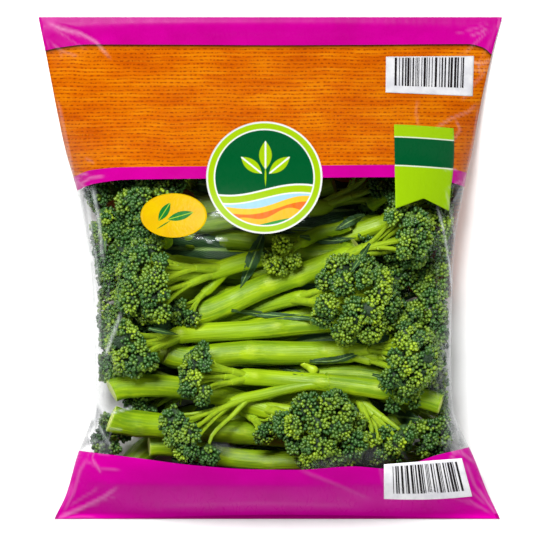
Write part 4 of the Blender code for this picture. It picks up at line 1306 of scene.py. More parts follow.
def drawn_tight():
    """How far the film lies over or under its smooth dome: it is drawn tight over the heads."""
    x, y = np.meshgrid(GX, GY)
    dome = film_height(x, y) + FILM
    pts = np.vstack(TALLEST)
    i = np.clip(np.round((pts[:, 0] - GX[0]) / CELL).astype(int), 0, len(GX) - 1)
    j = np.clip(np.round((pts[:, 1] - GY[0]) / CELL).astype(int), 0, len(GY) - 1)
    top = np.zeros_like(dome)
    np.maximum.at(top, (j, i), pts[:, 2])
    wide = top.copy()
    for a, b in ((0, 1), (0, -1), (1, 0), (-1, 0), (1, 1), (-1, 1), (1, -1), (-1, -1)):
        wide = np.maximum(wide, np.roll(top, (a, b), (0, 1)) - 0.0003)
    most = dome + PUFF
    need = np.minimum(wide + 0.0006, most)
    t, py = across(x, y), plan_y(y)
    free = (t < 0.93) & (py > 168) & (py < 478)
    curve = 0.25 * (np.roll(dome, 1, 0) + np.roll(dome, -1, 0) + np.roll(dome, 1, 1) + np.roll(dome, -1, 1)) - dome
    z = np.maximum(dome, np.where(t < 0.97, need, 0))
    for _ in range(420):
        mean = 0.25 * (np.roll(z, 1, 0) + np.roll(z, -1, 0) + np.roll(z, 1, 1) + np.roll(z, -1, 1))
        z = np.where(free, np.clip(mean - 0.42 * curve, need, most), z)
    for _ in range(3):
        mean = 0.25 * (np.roll(z, 1, 0) + np.roll(z, -1, 0) + np.roll(z, 1, 1) + np.roll(z, -1, 1))
        z = np.where(t < 0.93, np.maximum(0.5 * z + 0.5 * mean, need), z)
    return np.where(t < 0.985, z - dome, 0) * smooth_step(1 - t, 0.0, 0.03)


SHIFT = drawn_tight()


def outside(x, y):
    """Height of the front sheet's outer side."""
    flat = 1 - smooth_step(crown(y), 0.0, 0.008)
    return film_height(x, y) + FILM - 0.0011 * flat + sampled(SHIFT, x, y)


def on_front(px, py, lift=0.0):
    """The point of the front sheet that shows at px, py in the plan."""
    px, py = np.asarray(px, float), np.asarray(py, float)
    z = np.full(np.broadcast(px, py).shape, 0.05)
    for _ in range(12):
        k = GRID * (EYE - z) / EYE
        x, y = EYE_X + (px - 275) * k, EYE_Y + (275 - py) * k
        z = 0.4 * z + 0.6 * (outside(x, y) + lift)
    return np.stack([x, y, z], -1)


# Creases in the film: plan points, half width in plan units, height in mm, and
# how much of the light they throw back
CREASES = (
    (((92, 186), (98, 214), (101, 242), (103, 262)), 2.6, 1.3, 0.62),
    (((88, 190), (92, 236), (97, 262), (99, 300)), 2.0, 0.9, 0.45),
    (((96, 262), (98, 290), (100, 318), (99, 345)), 1.8, 0.8, 0.35),
    (((121, 312), (114, 332), (105, 356)), 2.4, 0.9, 0.70),
    (((107, 414), (119, 411), (133, 407)), 2.0, 0.8, 0.70),
    (((437, 206), (443, 228), (449, 262), (452, 292)), 1.6, 0.9, 0.72),
    (((446, 190), (451, 214), (455, 240)), 1.6, 0.7, 0.45),
    (((449, 300), (450, 330), (449, 362), (450, 396)), 1.6, 0.7, 0.42),
    (((98, 404), (96, 420), (103, 433), (112, 448)), 2.0, 1.1, 0.60),
    (((84, 436), (90, 424), (97, 418)), 1.6, 0.9, 0.50),
    (((88, 446), (96, 440), (104, 446)), 1.4, 0.8, 0.55),
    (((100, 450), (108, 440), (112, 430)), 1.4, 0.6, 0.35),
    (((445, 418), (452, 432), (449, 448)), 1.8, 1.0, 0.60),
    (((455, 424), (463, 436), (470, 444)), 1.6, 0.9, 0.55),
    (((440, 446), (452, 438), (462, 441)), 1.5, 0.8, 0.45),
    (((444, 430), (458, 429), (466, 433)), 1.2, 0.5, 0.30),
    (((458, 459), (452, 470), (450, 482)), 1.6, 0.7, 0.30),
    (((466, 462), (474, 484), (486, 502)), 1.8, 0.9, 0.26),
    (((478, 488), (487, 502), (496, 514)), 1.6, 0.8, 0.36),
    (((58, 518), (80, 509), (104, 497), (118, 487)), 2.4, 1.2, 0.42),
    (((64, 511), (74, 492), (80, 470), (88, 458)), 2.0, 0.9, 0.22),
    (((84, 460), (100, 468), (120, 470)), 1.8, 0.7, 0.14),
    (((45, 22), (62, 29), (80, 33), (96, 42), (110, 58)), 2.2, 0.9, 0.34),
    (((52, 44), (64, 52), (78, 56)), 1.8, 0.7, 0.16),
    (((58, 100), (64, 128), (70, 156), (74, 178)), 1.4, 0.7, 0.32),
    (((78, 186), (90, 178), (104, 176)), 1.6, 0.8, 0.30),
    (((76, 180), (88, 190), (98, 192)), 1.4, 0.7, 0.34),
    (((491, 60), (482, 64), (472, 62)), 1.8, 0.8, 0.42),
    (((488, 66), (482, 76), (474, 84), (462, 100)), 1.6, 0.7, 0.22),
    (((477, 104), (468, 112), (452, 118), (436, 128)), 1.8, 0.7, 0.24),
    (((478, 108), (474, 136), (469, 160), (466, 186)), 1.4, 0.7, 0.36),
    (((456, 120), (460, 130), (452, 142)), 1.6, 0.6, 0.26),
    (((418, 100), (416, 112), (418, 126)), 1.8, 0.5, 0.12),
    (((466, 176), (460, 190), (452, 204)), 1.5, 0.7, 0.42),
    (((458, 186), (462, 206), (456, 228)), 1.3, 0.6, 0.40),
    (((456, 443), (462, 452), (474, 462)), 1.4, 0.7, 0.34),
    (((372, 452), (380, 468), (384, 486)), 2.2, 0.6, 0.10),
    (((390, 440), (402, 452), (409, 462)), 2.4, 0.6, 0.10),
    (((228, 246), (206, 241), (188, 237)), 1.3, 0.4, 0.10),
    (((300, 470), (340, 486), (372, 500)), 2.6, 0.7, 0.10),
    (((150, 506), (260, 503), (360, 506)), 2.6, 0.9, 0.08),
    (((205, 243), (218, 240), (230, 239)), 0.9, 0.3, 0.45),
)
# Places where two layers of film lie on each other and look grey: plan outline, strength
VEILS = (
    (((212, 443), (226, 444), (246, 452), (262, 456), (282, 458), (300, 463), (262, 464), (228, 457), (214, 449)), 0.16),
    (((300, 468), (330, 456), (352, 452), (378, 446), (392, 460), (378, 468), (352, 465), (328, 468)), 0.10),
    (((240, 178), (206, 178), (212, 192), (222, 206), (212, 216), (240, 214)), 0.06),
    (((76, 186), (88, 186), (102, 246), (100, 340), (94, 340), (92, 262)), 0.07),
    (((96, 404), (104, 404), (113, 452), (78, 452), (84, 424)), 0.09),
    (((448, 404), (456, 408), (474, 446), (444, 453), (440, 430)), 0.11),
    (((452, 204), (466, 186), (458, 240), (454, 300), (450, 296), (452, 250)), 0.08),
)


# Facets of crumpled film, grey with painted shade against a pale surface: plan outline, strength
FACETS = (
    (((97, 404), (103, 413), (94, 432)), 0.24), (((84, 434), (93, 442), (75, 453)), 0.26),
    (((104, 438), (112, 453), (97, 453)), 0.22), (((91, 414), (95, 424), (85, 440)), 0.27),
    (((449, 404), (458, 424), (453, 438)), 0.25), (((461, 430), (475, 449), (457, 447)), 0.27),
    (((449, 440), (457, 450), (444, 452)), 0.22), (((457, 420), (466, 440), (459, 446)), 0.29),
    (((79, 188), (84, 188), (92, 250), (90, 256)), 0.24), (((90, 262), (93, 262), (95, 330), (93, 330)), 0.22),
    (((463, 188), (467, 188), (460, 240), (457, 240)), 0.24), (((454, 254), (457, 254), (455, 316), (453, 316)), 0.22),
    (((453, 332), (455, 332), (454, 396), (452, 392)), 0.24), (((94, 344), (96, 346), (95, 398), (93, 392)), 0.22),
)


def near_line(px, py, line):
    """Distance to a line of plan points, and how far along it from 0 to 1."""
    line = np.asarray(line, float)
    best, along = np.full(px.shape, 1e9), np.zeros(px.shape)
    seg = np.sqrt(((line[1:] - line[:-1]) ** 2).sum(1))
    start = np.concatenate([[0], np.cumsum(seg)])
    for (a, b), length, s in zip(zip(line[:-1], line[1:]), seg, start):
        d = (b - a) / length
        t = np.clip((px - a[0]) * d[0] + (py - a[1]) * d[1], 0, length)
        dist = np.hypot(px - a[0] - t * d[0], py - a[1] - t * d[1])
        closer = dist < best
        best[closer] = dist[closer]
        along[closer] = ((s + t) / start[-1])[closer]
    return best, along


def inside_outline(px, py, poly, soft):
    poly = np.asarray(poly, float)
    hit = np.zeros(px.shape, bool)
    for (ax, ay), (bx, by) in zip(poly, np.roll(poly, -1, 0)):
        cross = (ay > py) != (by > py)
        hit ^= cross & (px < (bx - ax) * (py - ay) / (by - ay + 1e-12) + ax)
    dist, _ = near_line(px, py, np.vstack([poly, poly[:1]]))
    return np.where(hit, 0.5 + 0.5 * np.clip(dist / soft, 0, 1), 0.5 - 0.5 * np.clip(dist / soft, 0, 1))


def small_creases():
    """More fine creases: up and down the sides and out of the corners of the seals."""
    g = np.random.default_rng(77)
    out = []
    for k in range(54):
        py = g.uniform(186, 446)
        side = 1 if k % 2 else -1
        edge = left_edge(py) if side < 0 else right_edge(py)
        long = g.uniform(10, 34)
        into = g.uniform(1.5, 17) * (1 if side < 0 else -1)
        lean = g.normal() * 0.16
        pts = [(edge + into + lean * (s - 0.5) * long + g.normal() * 0.8, py + (s - 0.5) * long) for s in (0, 0.35, 0.7, 1)]
        out.append((pts, g.uniform(0.8, 1.5), g.uniform(0.2, 0.6), g.uniform(0.04, 0.22)))
    for cx, cy, way, n in ((40, 20, 35, 6), (500, 20, 145, 7), (56, 516, -32, 8), (498, 516, -148, 10)):
        for k in range(n):
            a = math.radians(way + g.uniform(-34, 34))
            d0, d1 = g.uniform(6, 22), g.uniform(28, 70)
            pts = [(cx + math.cos(a) * d + g.normal(), cy + math.sin(a) * d + g.normal()) for d in (d0, (d0 + d1) / 2, d1)]
            out.append((pts, g.uniform(1.0, 2.0), g.uniform(0.3, 0.8), g.uniform(0.04, 0.20)))
    for k in range(64):  # short fine ones in the crumpled corners
        cx, cy = ((90, 436), (458, 436), (92, 420), (470, 66), (462, 446), (84, 184), (462, 190), (96, 446))[k % 8]
        a = g.uniform(0, math.pi)
        long = g.uniform(6, 18)
        x0, y0 = cx + g.normal() * 7, cy + g.normal() * 8
        pts = [(x0 + math.cos(a) * s * long, y0 + math.sin(a) * s * long) for s in (0, 0.5, 1)]
        out.append((pts, g.uniform(0.9, 1.8), g.uniform(0.2, 0.6), g.uniform(0.10, 0.40)))
    return out


ALL_CREASES = list(CREASES) + small_creases()


def creased(px, py):
    """Height in metres and light thrown back by the creases at each plan point."""
    high, light = np.zeros(px.shape), np.zeros(px.shape)
    for line, wide, tall, shine in ALL_CREASES:
        d, s = near_line(px, py, line)
        taper = np.clip(np.minimum(s, 1 - s) * 5, 0, 1)
        taper = taper * taper * (3 - 2 * taper)
        high = np.maximum(high, tall * 0.001 * np.clip(1 - d / (1.7 * wide), 0, 1) ** 1.3 * taper)
        light = np.maximum(light, shine * np.clip(1 - d / wide, 0, 1) ** 0.8 * np.clip(np.minimum(s + 0.02, 1.02 - s) * 7, 0, 1))
    return high, light


def veiled(px, py):
    out = np.zeros(px.shape)
    for poly, strength in VEILS:
        out = np.maximum(out, strength * inside_outline(px, py, poly, 2.0))
    return out


def shaded(px, py):
    """How grey the film looks, as painted shade: along its side folds and in the crumpled facets."""
    out = np.zeros(px.shape)
    clear = smooth_step(py, 176, 190) * (1 - smooth_step(py, 446, 462))
    for edge in (left_edge(py), right_edge(py)):
        out = np.maximum(out, 0.34 * np.clip(1 - np.abs(px - edge) / 1.6, 0, 1) * clear)
    for poly, strength in FACETS:
        out = np.maximum(out, strength * inside_outline(px, py, poly, 1.2))
    return out


# ---------------------------------------------------------------- film and ink materials
def film_material(name):
    """Clear film. Tint: red is crease, painted as a whiter highlight, green is veil. Flow: plan x, plan y in hundreds.
    """
    m, t, shader, out = new_material(name)
    tint, flow = attribute(t, "tint").outputs["Color"], attribute(t, "flow").outputs["Vector"]
    crease, veil, grey = channels(t, tint)
    streaks = noise(t, scaled(t, flow, (26.0, 7.0, 1.0)), 1.0, 2.0, 0.5, 0.8)
    crumple = noise(t, scaled(t, flow, (13.0, 9.0, 1.0)), 1.0, 1.5, 0.5, 1.4)
    ridges = ramp(t, crumple, [(0.42, 0.0), (0.49, 1.0), (0.50, 1.0), (0.56, 0.0)])
    crease = maths(t, "MULTIPLY", crease, ramp(t, streaks, [(0.30, 0.45), (0.62, 1.0)]))
    veil = maths(t, "MULTIPLY", veil, maths(t, "ADD", 0.60, maths(t, "MULTIPLY", ridges, 0.45)))
    # painted highlight: creases are made whiter and less clear, together with the grey veils
    crease_glint_and_veil = maths(t, "MAXIMUM", crease, veil, clamp=True)
    lw = node(t, "ShaderNodeLayerWeight")
    lw.inputs["Blend"].default_value = 0.5
    gloss = maths(t, "ADD", 0.0022, maths(t, "MULTIPLY", maths(t, "POWER", lw.outputs["Facing"], 4.0), 0.62))
    cover = maths(t, "ADD", maths(t, "ADD", gloss, maths(t, "MULTIPLY", grey, 2.0)), maths(t, "MULTIPLY", crease_glint_and_veil, 0.92), clamp=True)
    tone = ramp(t, crease_glint_and_veil, [(0.0, (0.36, 0.38, 0.40)), (0.12, (0.34, 0.36, 0.37)), (0.6, (0.46, 0.48, 0.49))])
    # painted shade: the film goes dark grey along its folds and in the facets
    tone = mixed(t, maths(t, "MULTIPLY", grey, 4.0, clamp=True), tone, (0.115, 0.122, 0.126))
    t.links.new(tone, shader.inputs["Base Color"])
    t.links.new(ramp(t, crease_glint_and_veil, [(0.0, 1.0), (0.10, 0.25), (0.30, 0.05)]), shader.inputs["Metallic"])
    t.links.new(ramp(t, crease_glint_and_veil, [(0.0, 0.10), (0.4, 0.30)]), shader.inputs["Roughness"])
    wrinkles = maths(t, "ADD", maths(t, "MULTIPLY", streaks, 0.6), maths(t, "MULTIPLY", crumple, 0.5))
    bumped(t, shader, wrinkles, 0.0010, 0.10)
    clear = node(t, "ShaderNodeBsdfTransparent")
    mix = node(t, "ShaderNodeMixShader")
    t.links.new(cover, mix.inputs[0])
    t.links.new(clear.outputs[0], mix.inputs[1])
    t.links.new(shader.outputs[0], mix.inputs[2])
    t.links.new(mix.outputs[0], out.inputs[0])
    return m


def sheen_over(t, shader, base, crease_gain=0.45, level=0.025):
    """Creases and scuffs in a printed part: paler lines along the creases, which are a painted highlight, and an uneven
    gloss.
    """
    tint, flow = attribute(t, "tint").outputs["Color"], attribute(t, "flow").outputs["Vector"]
    crease, veil, _ = channels(t, tint)
    scuff = noise(t, scaled(t, flow, (14.0, 9.0, 1.0)), 1.0, 5.0, 0.6, 1.2)
    # painted highlight: paler along the creases
    base = mixed(t, maths(t, "MULTIPLY", crease, crease_gain, clamp=True), base, (0.72, 0.60, 0.66))
    t.links.new(base, shader.inputs["Base Color"])
    t.links.new(ramp(t, scuff, [(0.3, 0.24), (0.7, 0.34)]), shader.inputs["Roughness"])
    shader.inputs["Specular IOR Level"].default_value = level
    fine = noise(t, scaled(t, flow, (9.0, 5.0, 1.0)), 1.0, 1.5, 0.5)
    bumped(t, shader, fine, 0.0012, 0.16)


def magenta_material(name, low, high, level):
    m, t, shader, out = new_material(name)
    flow = attribute(t, "flow").outputs["Vector"]
    cloud = noise(t, scaled(t, flow, (2.2, 3.5, 1.0)), 1.0, 4.0, 0.55)
    base = ramp(t, cloud, [(0.32, low), (0.68, high)])
    sheen_over(t, shader, base, 0.45, level)
    return m


def wood_material(name, inks):
    """Printed wood grain: fine level lines with short dark dashes."""
    m, t, shader, out = new_material(name)
    flow = attribute(t, "flow").outputs["Vector"]
    sep = node(t, "ShaderNodeSeparateXYZ")
    t.links.new(flow, sep.inputs[0])
    bow = noise(t, scaled(t, flow, (1.6, 1.1, 0.0)), 1.0, 2.0, 0.5)
    level = maths(t, "ADD", sep.outputs[1], maths(t, "MULTIPLY", bow, 0.05))
    place = node(t, "ShaderNodeCombineXYZ")
    t.links.new(sep.outputs[0], place.inputs[0])
    t.links.new(level, place.inputs[1])
    where = place.outputs[0]
    patches = noise(t, scaled(t, where, (1.8, 5.5, 0.0)), 1.0, 4.0, 0.6)
    lines = noise(t, scaled(t, where, (2.0, 34.0, 0.0)), 1.0, 2.0, 0.5)
    saw = maths(t, "FRACT", maths(t, "MULTIPLY", level, 27.0))
    rows = maths(t, "MULTIPLY", saw, maths(t, "SUBTRACT", 1.0, saw))
    dashes = noise(t, scaled(t, where, (30.0, 27.0, 0.0)), 1.0, 2.0, 0.5)
    base = ramp(t, patches, [(0.28, inks[0]), (0.46, inks[1]), (0.62, inks[2]), (0.78, inks[1])])
    base = mixed(t, maths(t, "MULTIPLY", ramp(t, lines, [(0.45, 0.0), (0.68, 1.0)]), 0.55), base, inks[0])
    base = mixed(t, maths(t, "MULTIPLY", ramp(t, lines, [(0.30, 1.0), (0.44, 0.0)]), 0.30), base, inks[3])
    seam = ramp(t, rows, [(0.0, 1.0), (0.10, 0.75), (0.20, 0.0)])
    base = mixed(t, maths(t, "MULTIPLY", seam, 0.42), base, inks[0])
    dash = maths(t, "MULTIPLY", ramp(t, dashes, [(0.46, 0.0), (0.56, 1.0)]), seam)
    base = mixed(t, maths(t, "MULTIPLY", dash, 0.85), base, inks[4])
    base = mixed(t, ramp(t, maths(t, "MULTIPLY", sep.outputs[2], 10.0), [(0.10, 0.92), (0.26, 0.35), (0.55, 0.0)]), base, inks[5])
    sheen_over(t, shader, base, 0.35)
    return m


def ink(r, g, b, share=0.44):
    """A printed colour given as shown, made darker by how bright the light is."""
    lin = lambda c: (c / 255 / 12.92 if c <= 10 else ((c / 255 + 0.055) / 1.055) ** 2.4) * share
    return (lin(r), lin(g), lin(b))


INK_MAGENTA, INK_MAGENTA_LOW = ink(218, 0, 162), ink(202, 0, 146)
INK_WOOD = (ink(208, 90, 0), ink(228, 113, 0), ink(242, 138, 4), ink(246, 156, 30), ink(140, 50, 6), ink(44, 20, 10))
INK_PALE = tuple(tuple(min(0.9, 0.06 + 1.7 * c) for c in col) for col in INK_WOOD)
FRONT_CLEAR, BACK_CLEAR = film_material("clear_film_front"), film_material("clear_film_back")
MAGENTA = magenta_material("magenta_ink", INK_MAGENTA_LOW, INK_MAGENTA, 0.03)
# the bottom band slopes away from the key light: this copy of the magenta ink is brighter, painted light that makes up
# for the shade there
MAGENTA_LOW = magenta_material("magenta_ink_low_painted_light", ink(196, 0, 146, 0.74), ink(206, 0, 156, 0.74), 0.004)
WOOD, PALE_WOOD = wood_material("wood_ink", INK_WOOD), wood_material("wood_ink_back", INK_PALE)

# Borders of the printed bands from the top seal to the bottom seal: share of the
# half width, plan y
BORDERS = (
    ((-1, 17.0), (1, 17.0)),
    ((-1, 50.5), (-0.93, 47.4), (-0.80, 44.4), (-0.4, 44.6), (0, 45.2), (0.5, 44.6), (0.88, 44.0), (0.95, 47.2), (1, 54.5)),
    ((-1, 177.5), (-0.88, 170.0), (-0.7, 167.2), (0, 166.0), (0.6, 165.0), (0.86, 167.5), (1, 173.0)),
    ((-1, 191.0), (-0.88, 183.5), (-0.7, 179.6), (0, 178.2), (0.6, 177.2), (0.86, 180.5), (1, 187.0)),
    ((-1, 450.5), (-0.68, 458.0), (-0.4, 465.2), (-0.1, 469.4), (0.1, 469.8), (0.38, 466.4), (0.54, 468.6), (0.82, 454.5), (1, 447.0)),
    ((-1, 517.6), (-0.8, 511.6), (-0.6, 509.2), (0, 508.0), (0.5, 509.0), (0.8, 512.0), (1, 517.6)),
    ((-1, 519.0), (-0.6, 517.4), (0, 515.0), (0.5, 516.4), (1, 519.0)),
)
ROWS = (12, 52, 8, 118, 24, 6)
COLUMNS = 184


def border(k, u):
    rows = BORDERS[k]
    if len(rows) == 2:
        return np.full(np.shape(u), rows[0][1], float)
    return smooth_table(rows, 1)(u)


def front_sheet():
    s = np.linspace(-1, 1, COLUMNS + 1)
    u = 0.70 * s + 0.30 * np.sin(s * math.pi / 2)
    edges = [border(k, u) for k in range(len(BORDERS))]
    py, band = [edges[0]], []
    for k, n in enumerate(ROWS):
        for j in range(1, n + 1):
            py.append(edges[k] + (edges[k + 1] - edges[k]) * j / n)
            band.append(k)
    py = np.array(py)
    n = len(py)
    z = np.full(py.shape, 0.03)
    for _ in range(16):
        y = EYE_Y + (275 - py) * GRID * (EYE - z) / EYE
        x = middle(y) + half_width(y) * u
        zz = outside(x, y)
        rim = 0.0012 + fold_height(y)
        zz[:, 0], zz[:, -1] = rim[:, 0], rim[:, -1]
        z = 0.5 * z + 0.5 * zz
    px = 275 + (x - EYE_X) / (GRID * (EYE - z) / EYE)
    high, light = creased(px, py)
    soft = smooth_step(1 - np.abs(np.broadcast_to(u, py.shape)), 0.0, 0.02) * smooth_step(py, 18, 26)
    z = z + high * soft
    # the seals: two flat strips with fine level ribs
    seal = (1 - smooth_step(py, 22, 25)) + smooth_step(py, edges[5] + 0.6, edges[5] + 1.6)
    z = z + seal * 0.00010 * np.sin(py * 2.6)
    z[0], z[-1] = 0.00045, 0.00045
    z[:, 0] = np.where(np.arange(n) % (n - 1) == 0, 0.00045, z[:, 0])
    veil = veiled(px, py)
    v = np.stack([x, y, z], -1)
    soup = Soup()
    tint = np.zeros((*py.shape, 4))
    tint[..., 0], tint[..., 1], tint[..., 2] = light, veil, shaded(px, py)
    below = np.clip((py - edges[1]) / 100, 0, 2)
    flow = np.stack([px / 100, py / 100, below], -1)
    i, k = np.meshgrid(np.arange(n - 1), np.arange(COLUMNS), indexing="ij")
    a = i * (COLUMNS + 1) + k
    quads = np.stack([a, a + COLUMNS + 1, a + COLUMNS + 2, a + 1], -1).reshape(-1, 4)
    # the bottom band and its seal take the brighter magenta, painted light for that slope
    mats = np.array([1, 2, 1, 0, 3, 3])[np.array(band)][i].ravel()
    soup.add(v.reshape(-1, 3), None, quads, 0, tint.reshape(-1, 4), flow.reshape(-1, 3))
    soup.m4 = [mats]
    return soup, v, py


FRONT, FRONT_V, FRONT_PY = front_sheet()
front = FRONT.make("bag_front", [FRONT_CLEAR, MAGENTA, WOOD, MAGENTA_LOW])


def back_sheet():
    """The back lies flat, and curls up to the side folds where it meets the front."""
    rim_l, rim_r = FRONT_V[::2, 0], FRONT_V[::2, -1]
    n, m = len(rim_l), 64
    s = np.linspace(-1, 1, m + 1)
    u = 0.7 * s + 0.3 * np.sin(s * math.pi / 2)
    w = (u + 1) / 2
    y = rim_l[:, 1:2] * (1 - w) + rim_r[:, 1:2] * w
    x = middle(y) + half_width(y) * u
    z = back_height(x, y) - FILM + 0.0003
    folds = np.random.default_rng(12)
    for k in range(26):  # shallow creases where the back lies on the surface
        cx, cy, a = folds.uniform(-0.1, 0.1), folds.uniform(-0.13, 0.13), folds.uniform(0, math.pi)
        d = np.abs((x - cx) * math.sin(a) - (y - cy) * math.cos(a))
        s_ = np.abs((x - cx) * math.cos(a) + (y - cy) * math.sin(a))
        z = z + folds.uniform(0.0002, 0.0006) * np.clip(1 - d / 0.002, 0, 1) * np.clip(1 - s_ / folds.uniform(0.012, 0.04), 0, 1)
    z = np.minimum(z, back_height(x, y) + 0.0004)
    z[:, 0], z[:, -1] = rim_l[:, 2], rim_r[:, 2]
    x[:, 0], x[:, -1] = rim_l[:, 0], rim_r[:, 0]
    z[0], z[-1] = 0.00045, 0.00045
    py = plan_y(y)
    soup = Soup()
    v = np.stack([x, y, z], -1)
    px = PLAN_X + x / GRID
    tint = np.zeros((*py.shape, 4))
    tint[..., 0] = 0.5 * creased(px, py)[1]
    tint[..., 1] = 0.10 * smooth_step(np.abs(u), 0.80, 0.95)[None]
    below = np.clip((py - 47) / 100, 0, 2)
    flow = np.stack([px / 100 + 7, py / 100, below], -1)
    i, k = np.meshgrid(np.arange(n - 1), np.arange(m), indexing="ij")
    a = i * (m + 1) + k
    quads = np.stack([a, a + 1, a + m + 2, a + m + 1], -1).reshape(-1, 4)
    mid = (py[:-1, m // 2] + py[1:, m // 2]) / 2
    kind = np.where(mid < 46, 1, np.where(mid < 300, 2, np.where(mid < 462, 0, 1)))[i]
    kind = np.where((kind == 2) & (u[k] < -0.90) & (mid[i] > 170), 0, kind).ravel()
    soup.add(v.reshape(-1, 3), None, quads, 0, tint.reshape(-1, 4), flow.reshape(-1, 3))
    soup.m4 = [kind]
    return soup


back = back_sheet().make("bag_back", [BACK_CLEAR, MAGENTA, PALE_WOOD])
for o, part in ((front, "front_film"), (back, "back_film")):
    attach(o, "root")
    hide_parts(part)


# ---------------------------------------------------------------- labels
def add_patch(soup, px, py, mat, lift, local=None, closed=False):
    """A thin patch that follows the film, with a skirt round it. px, py: a grid of plan points."""
    px, py = np.asarray(px, float), np.asarray(py, float)
    v = on_front(px, py, lift)
    n, m = px.shape
    flow = np.zeros((n, m, 3))
    if local is None:
        flow[..., 0], flow[..., 1] = px / 100, py / 100
    else:
        flow[..., 0], flow[..., 1] = local
    light = creased(px, py)
    v[..., 2] += light[0] * 0.9
    tint = np.zeros((n, m, 4))
    tint[..., 0] = light[1]
    i, k = np.meshgrid(np.arange(n - 1), np.arange(m - 1 + closed), indexing="ij")
    a, b = i * m + k, i * m + (k + 1) % m
    quads = np.stack([a, a + m, b + m, b], -1).reshape(-1, 4)
    count = n * m
    if closed:
        rim = (n - 1) * m + np.arange(m)
    else:
        rim = np.concatenate([np.arange(m), np.arange(1, n) * m + m - 1, (n - 1) * m + np.arange(m - 2, -1, -1),
                              np.arange(n - 2, 0, -1) * m])
    low = v.reshape(-1, 3)[rim] - [0, 0, lift * 0.9]
    k = np.arange(len(rim))
    skirt = np.stack([rim[k], rim[(k + 1) % len(rim)], count + (k + 1) % len(rim), count + k], 1)
    soup.add(np.vstack([v.reshape(-1, 3), low]), None, np.vstack([quads, skirt]), mat,
             np.vstack([tint.reshape(-1, 4), np.zeros((len(rim), 4))]),
             np.vstack([flow.reshape(-1, 3), flow.reshape(-1, 3)[rim]]))


def label_base(name):
    m, t, shader, out = new_material(name)
    sep = node(t, "ShaderNodeSeparateXYZ")
    t.links.new(attribute(t, "flow").outputs["Vector"], sep.inputs[0])
    return m, t, shader, sep.outputs[0], sep.outputs[1]


def over(t, value, edge, soft=0.012):
    """1 where value is over edge."""
    return maths(t, "DIVIDE", maths(t, "SUBTRACT", value, edge), soft, clamp=True)


def lens(t, x, y, cx, cy, angle, long, wide):
    """1 inside a leaf shape, and its distance from the midrib."""
    ca, sa = math.cos(angle), math.sin(angle)
    dx, dy = maths(t, "SUBTRACT", x, cx), maths(t, "SUBTRACT", y, cy)
    s = maths(t, "DIVIDE", maths(t, "ADD", maths(t, "MULTIPLY", dx, ca), maths(t, "MULTIPLY", dy, sa)), long)
    w = maths(t, "ABSOLUTE", maths(t, "SUBTRACT", maths(t, "MULTIPLY", dy, ca), maths(t, "MULTIPLY", dx, sa)))
    edge = maths(t, "MULTIPLY", maths(t, "SUBTRACT", 1.0, maths(t, "MULTIPLY", s, s)), wide)
    return maths(t, "DIVIDE", maths(t, "SUBTRACT", edge, w), 0.014, clamp=True), w


def emblem_material():
    """A round mark: pale rim, lime ring, dark field with a sprig, and striped hills under it."""
    m, t, shader, x, y = label_base("emblem_ink")
    d = maths(t, "SQRT", maths(t, "ADD", maths(t, "MULTIPLY", x, x), maths(t, "MULTIPLY", y, y)))
    green, lime, white = ink(0, 92, 44), ink(172, 212, 10), ink(250, 252, 250)
    bow = maths(t, "ADD", -0.20, maths(t, "MULTIPLY", maths(t, "SINE", maths(t, "MULTIPLY", x, 2.6)), 0.10))
    base = mixed(t, over(t, maths(t, "SUBTRACT", bow, y), 0.0), green, white)
    base = mixed(t, over(t, maths(t, "SUBTRACT", bow, y), 0.03), base, lime)
    base = mixed(t, over(t, maths(t, "SUBTRACT", bow, y), 0.15), base, white)
    base = mixed(t, over(t, maths(t, "SUBTRACT", bow, y), 0.175), base, ink(176, 224, 246))
    for k, (low, turn, colour) in enumerate(((0.26, 2.0, ink(255, 206, 40)), (0.36, -2.4, ink(240, 120, 24)),
                                             (0.47, 2.8, ink(255, 196, 40)), (0.56, -2.0, ink(54, 160, 60)))):
        edge = maths(t, "ADD", low, maths(t, "MULTIPLY", maths(t, "COSINE", maths(t, "MULTIPLY", x, turn * 2 + k)), 0.05))
        base = mixed(t, over(t, maths(t, "SUBTRACT", bow, y), edge), base, colour)
    for cx, cy, angle, long, wide in ((0.02, 0.40, math.pi / 2, 0.26, 0.115), (-0.22, 0.22, 2.45, 0.24, 0.105), (0.26, 0.22, 0.70, 0.24, 0.105)):
        leaf, rib = lens(t, x, y, cx, cy, angle, long, wide)
        base = mixed(t, leaf, base, lime)
        base = mixed(t, maths(t, "MULTIPLY", leaf, maths(t, "SUBTRACT", 1.0, over(t, rib, 0.008))), base, white)
    stem, _ = lens(t, x, y, 0.02, 0.02, math.pi / 2, 0.20, 0.022)
    base = mixed(t, stem, base, lime)
    base = mixed(t, over(t, d, 0.838), base, white)
    base = mixed(t, over(t, d, 0.862), base, lime)
    base = mixed(t, over(t, d, 0.962), base, white)
    sheen_over(t, shader, base, 0.2)
    return m


def oval_material():
    """A yellow oval with two plain leaves."""
    m, t, shader, x, y = label_base("oval_ink")
    flow = attribute(t, "flow").outputs["Vector"]
    cloud = noise(t, scaled(t, flow, (1.5, 1.5, 0.0)), 1.0, 2.0, 0.5)
    base = ramp(t, cloud, [(0.35, ink(250, 198, 8, 0.385)), (0.65, ink(255, 212, 0, 0.385))])
    xs = maths(t, "MULTIPLY", x, 1.5)
    for cx, cy, angle, long, wide in ((-0.42, 0.16, 1.0, 0.50, 0.20), (0.30, -0.02, 0.28, 0.62, 0.20)):
        leaf, rib = lens(t, xs, y, cx, cy, angle, long, wide)
        base = mixed(t, leaf, base, ink(18, 128, 44))
        base = mixed(t, maths(t, "MULTIPLY", leaf, maths(t, "SUBTRACT", 1.0, over(t, rib, 0.012))), base, ink(170, 210, 40))
    stem, _ = lens(t, xs, y, -0.45, -0.42, 0.55, 0.42, 0.035)
    base = mixed(t, stem, base, ink(18, 128, 44))
    sheen_over(t, shader, base, 0.2)
    return m


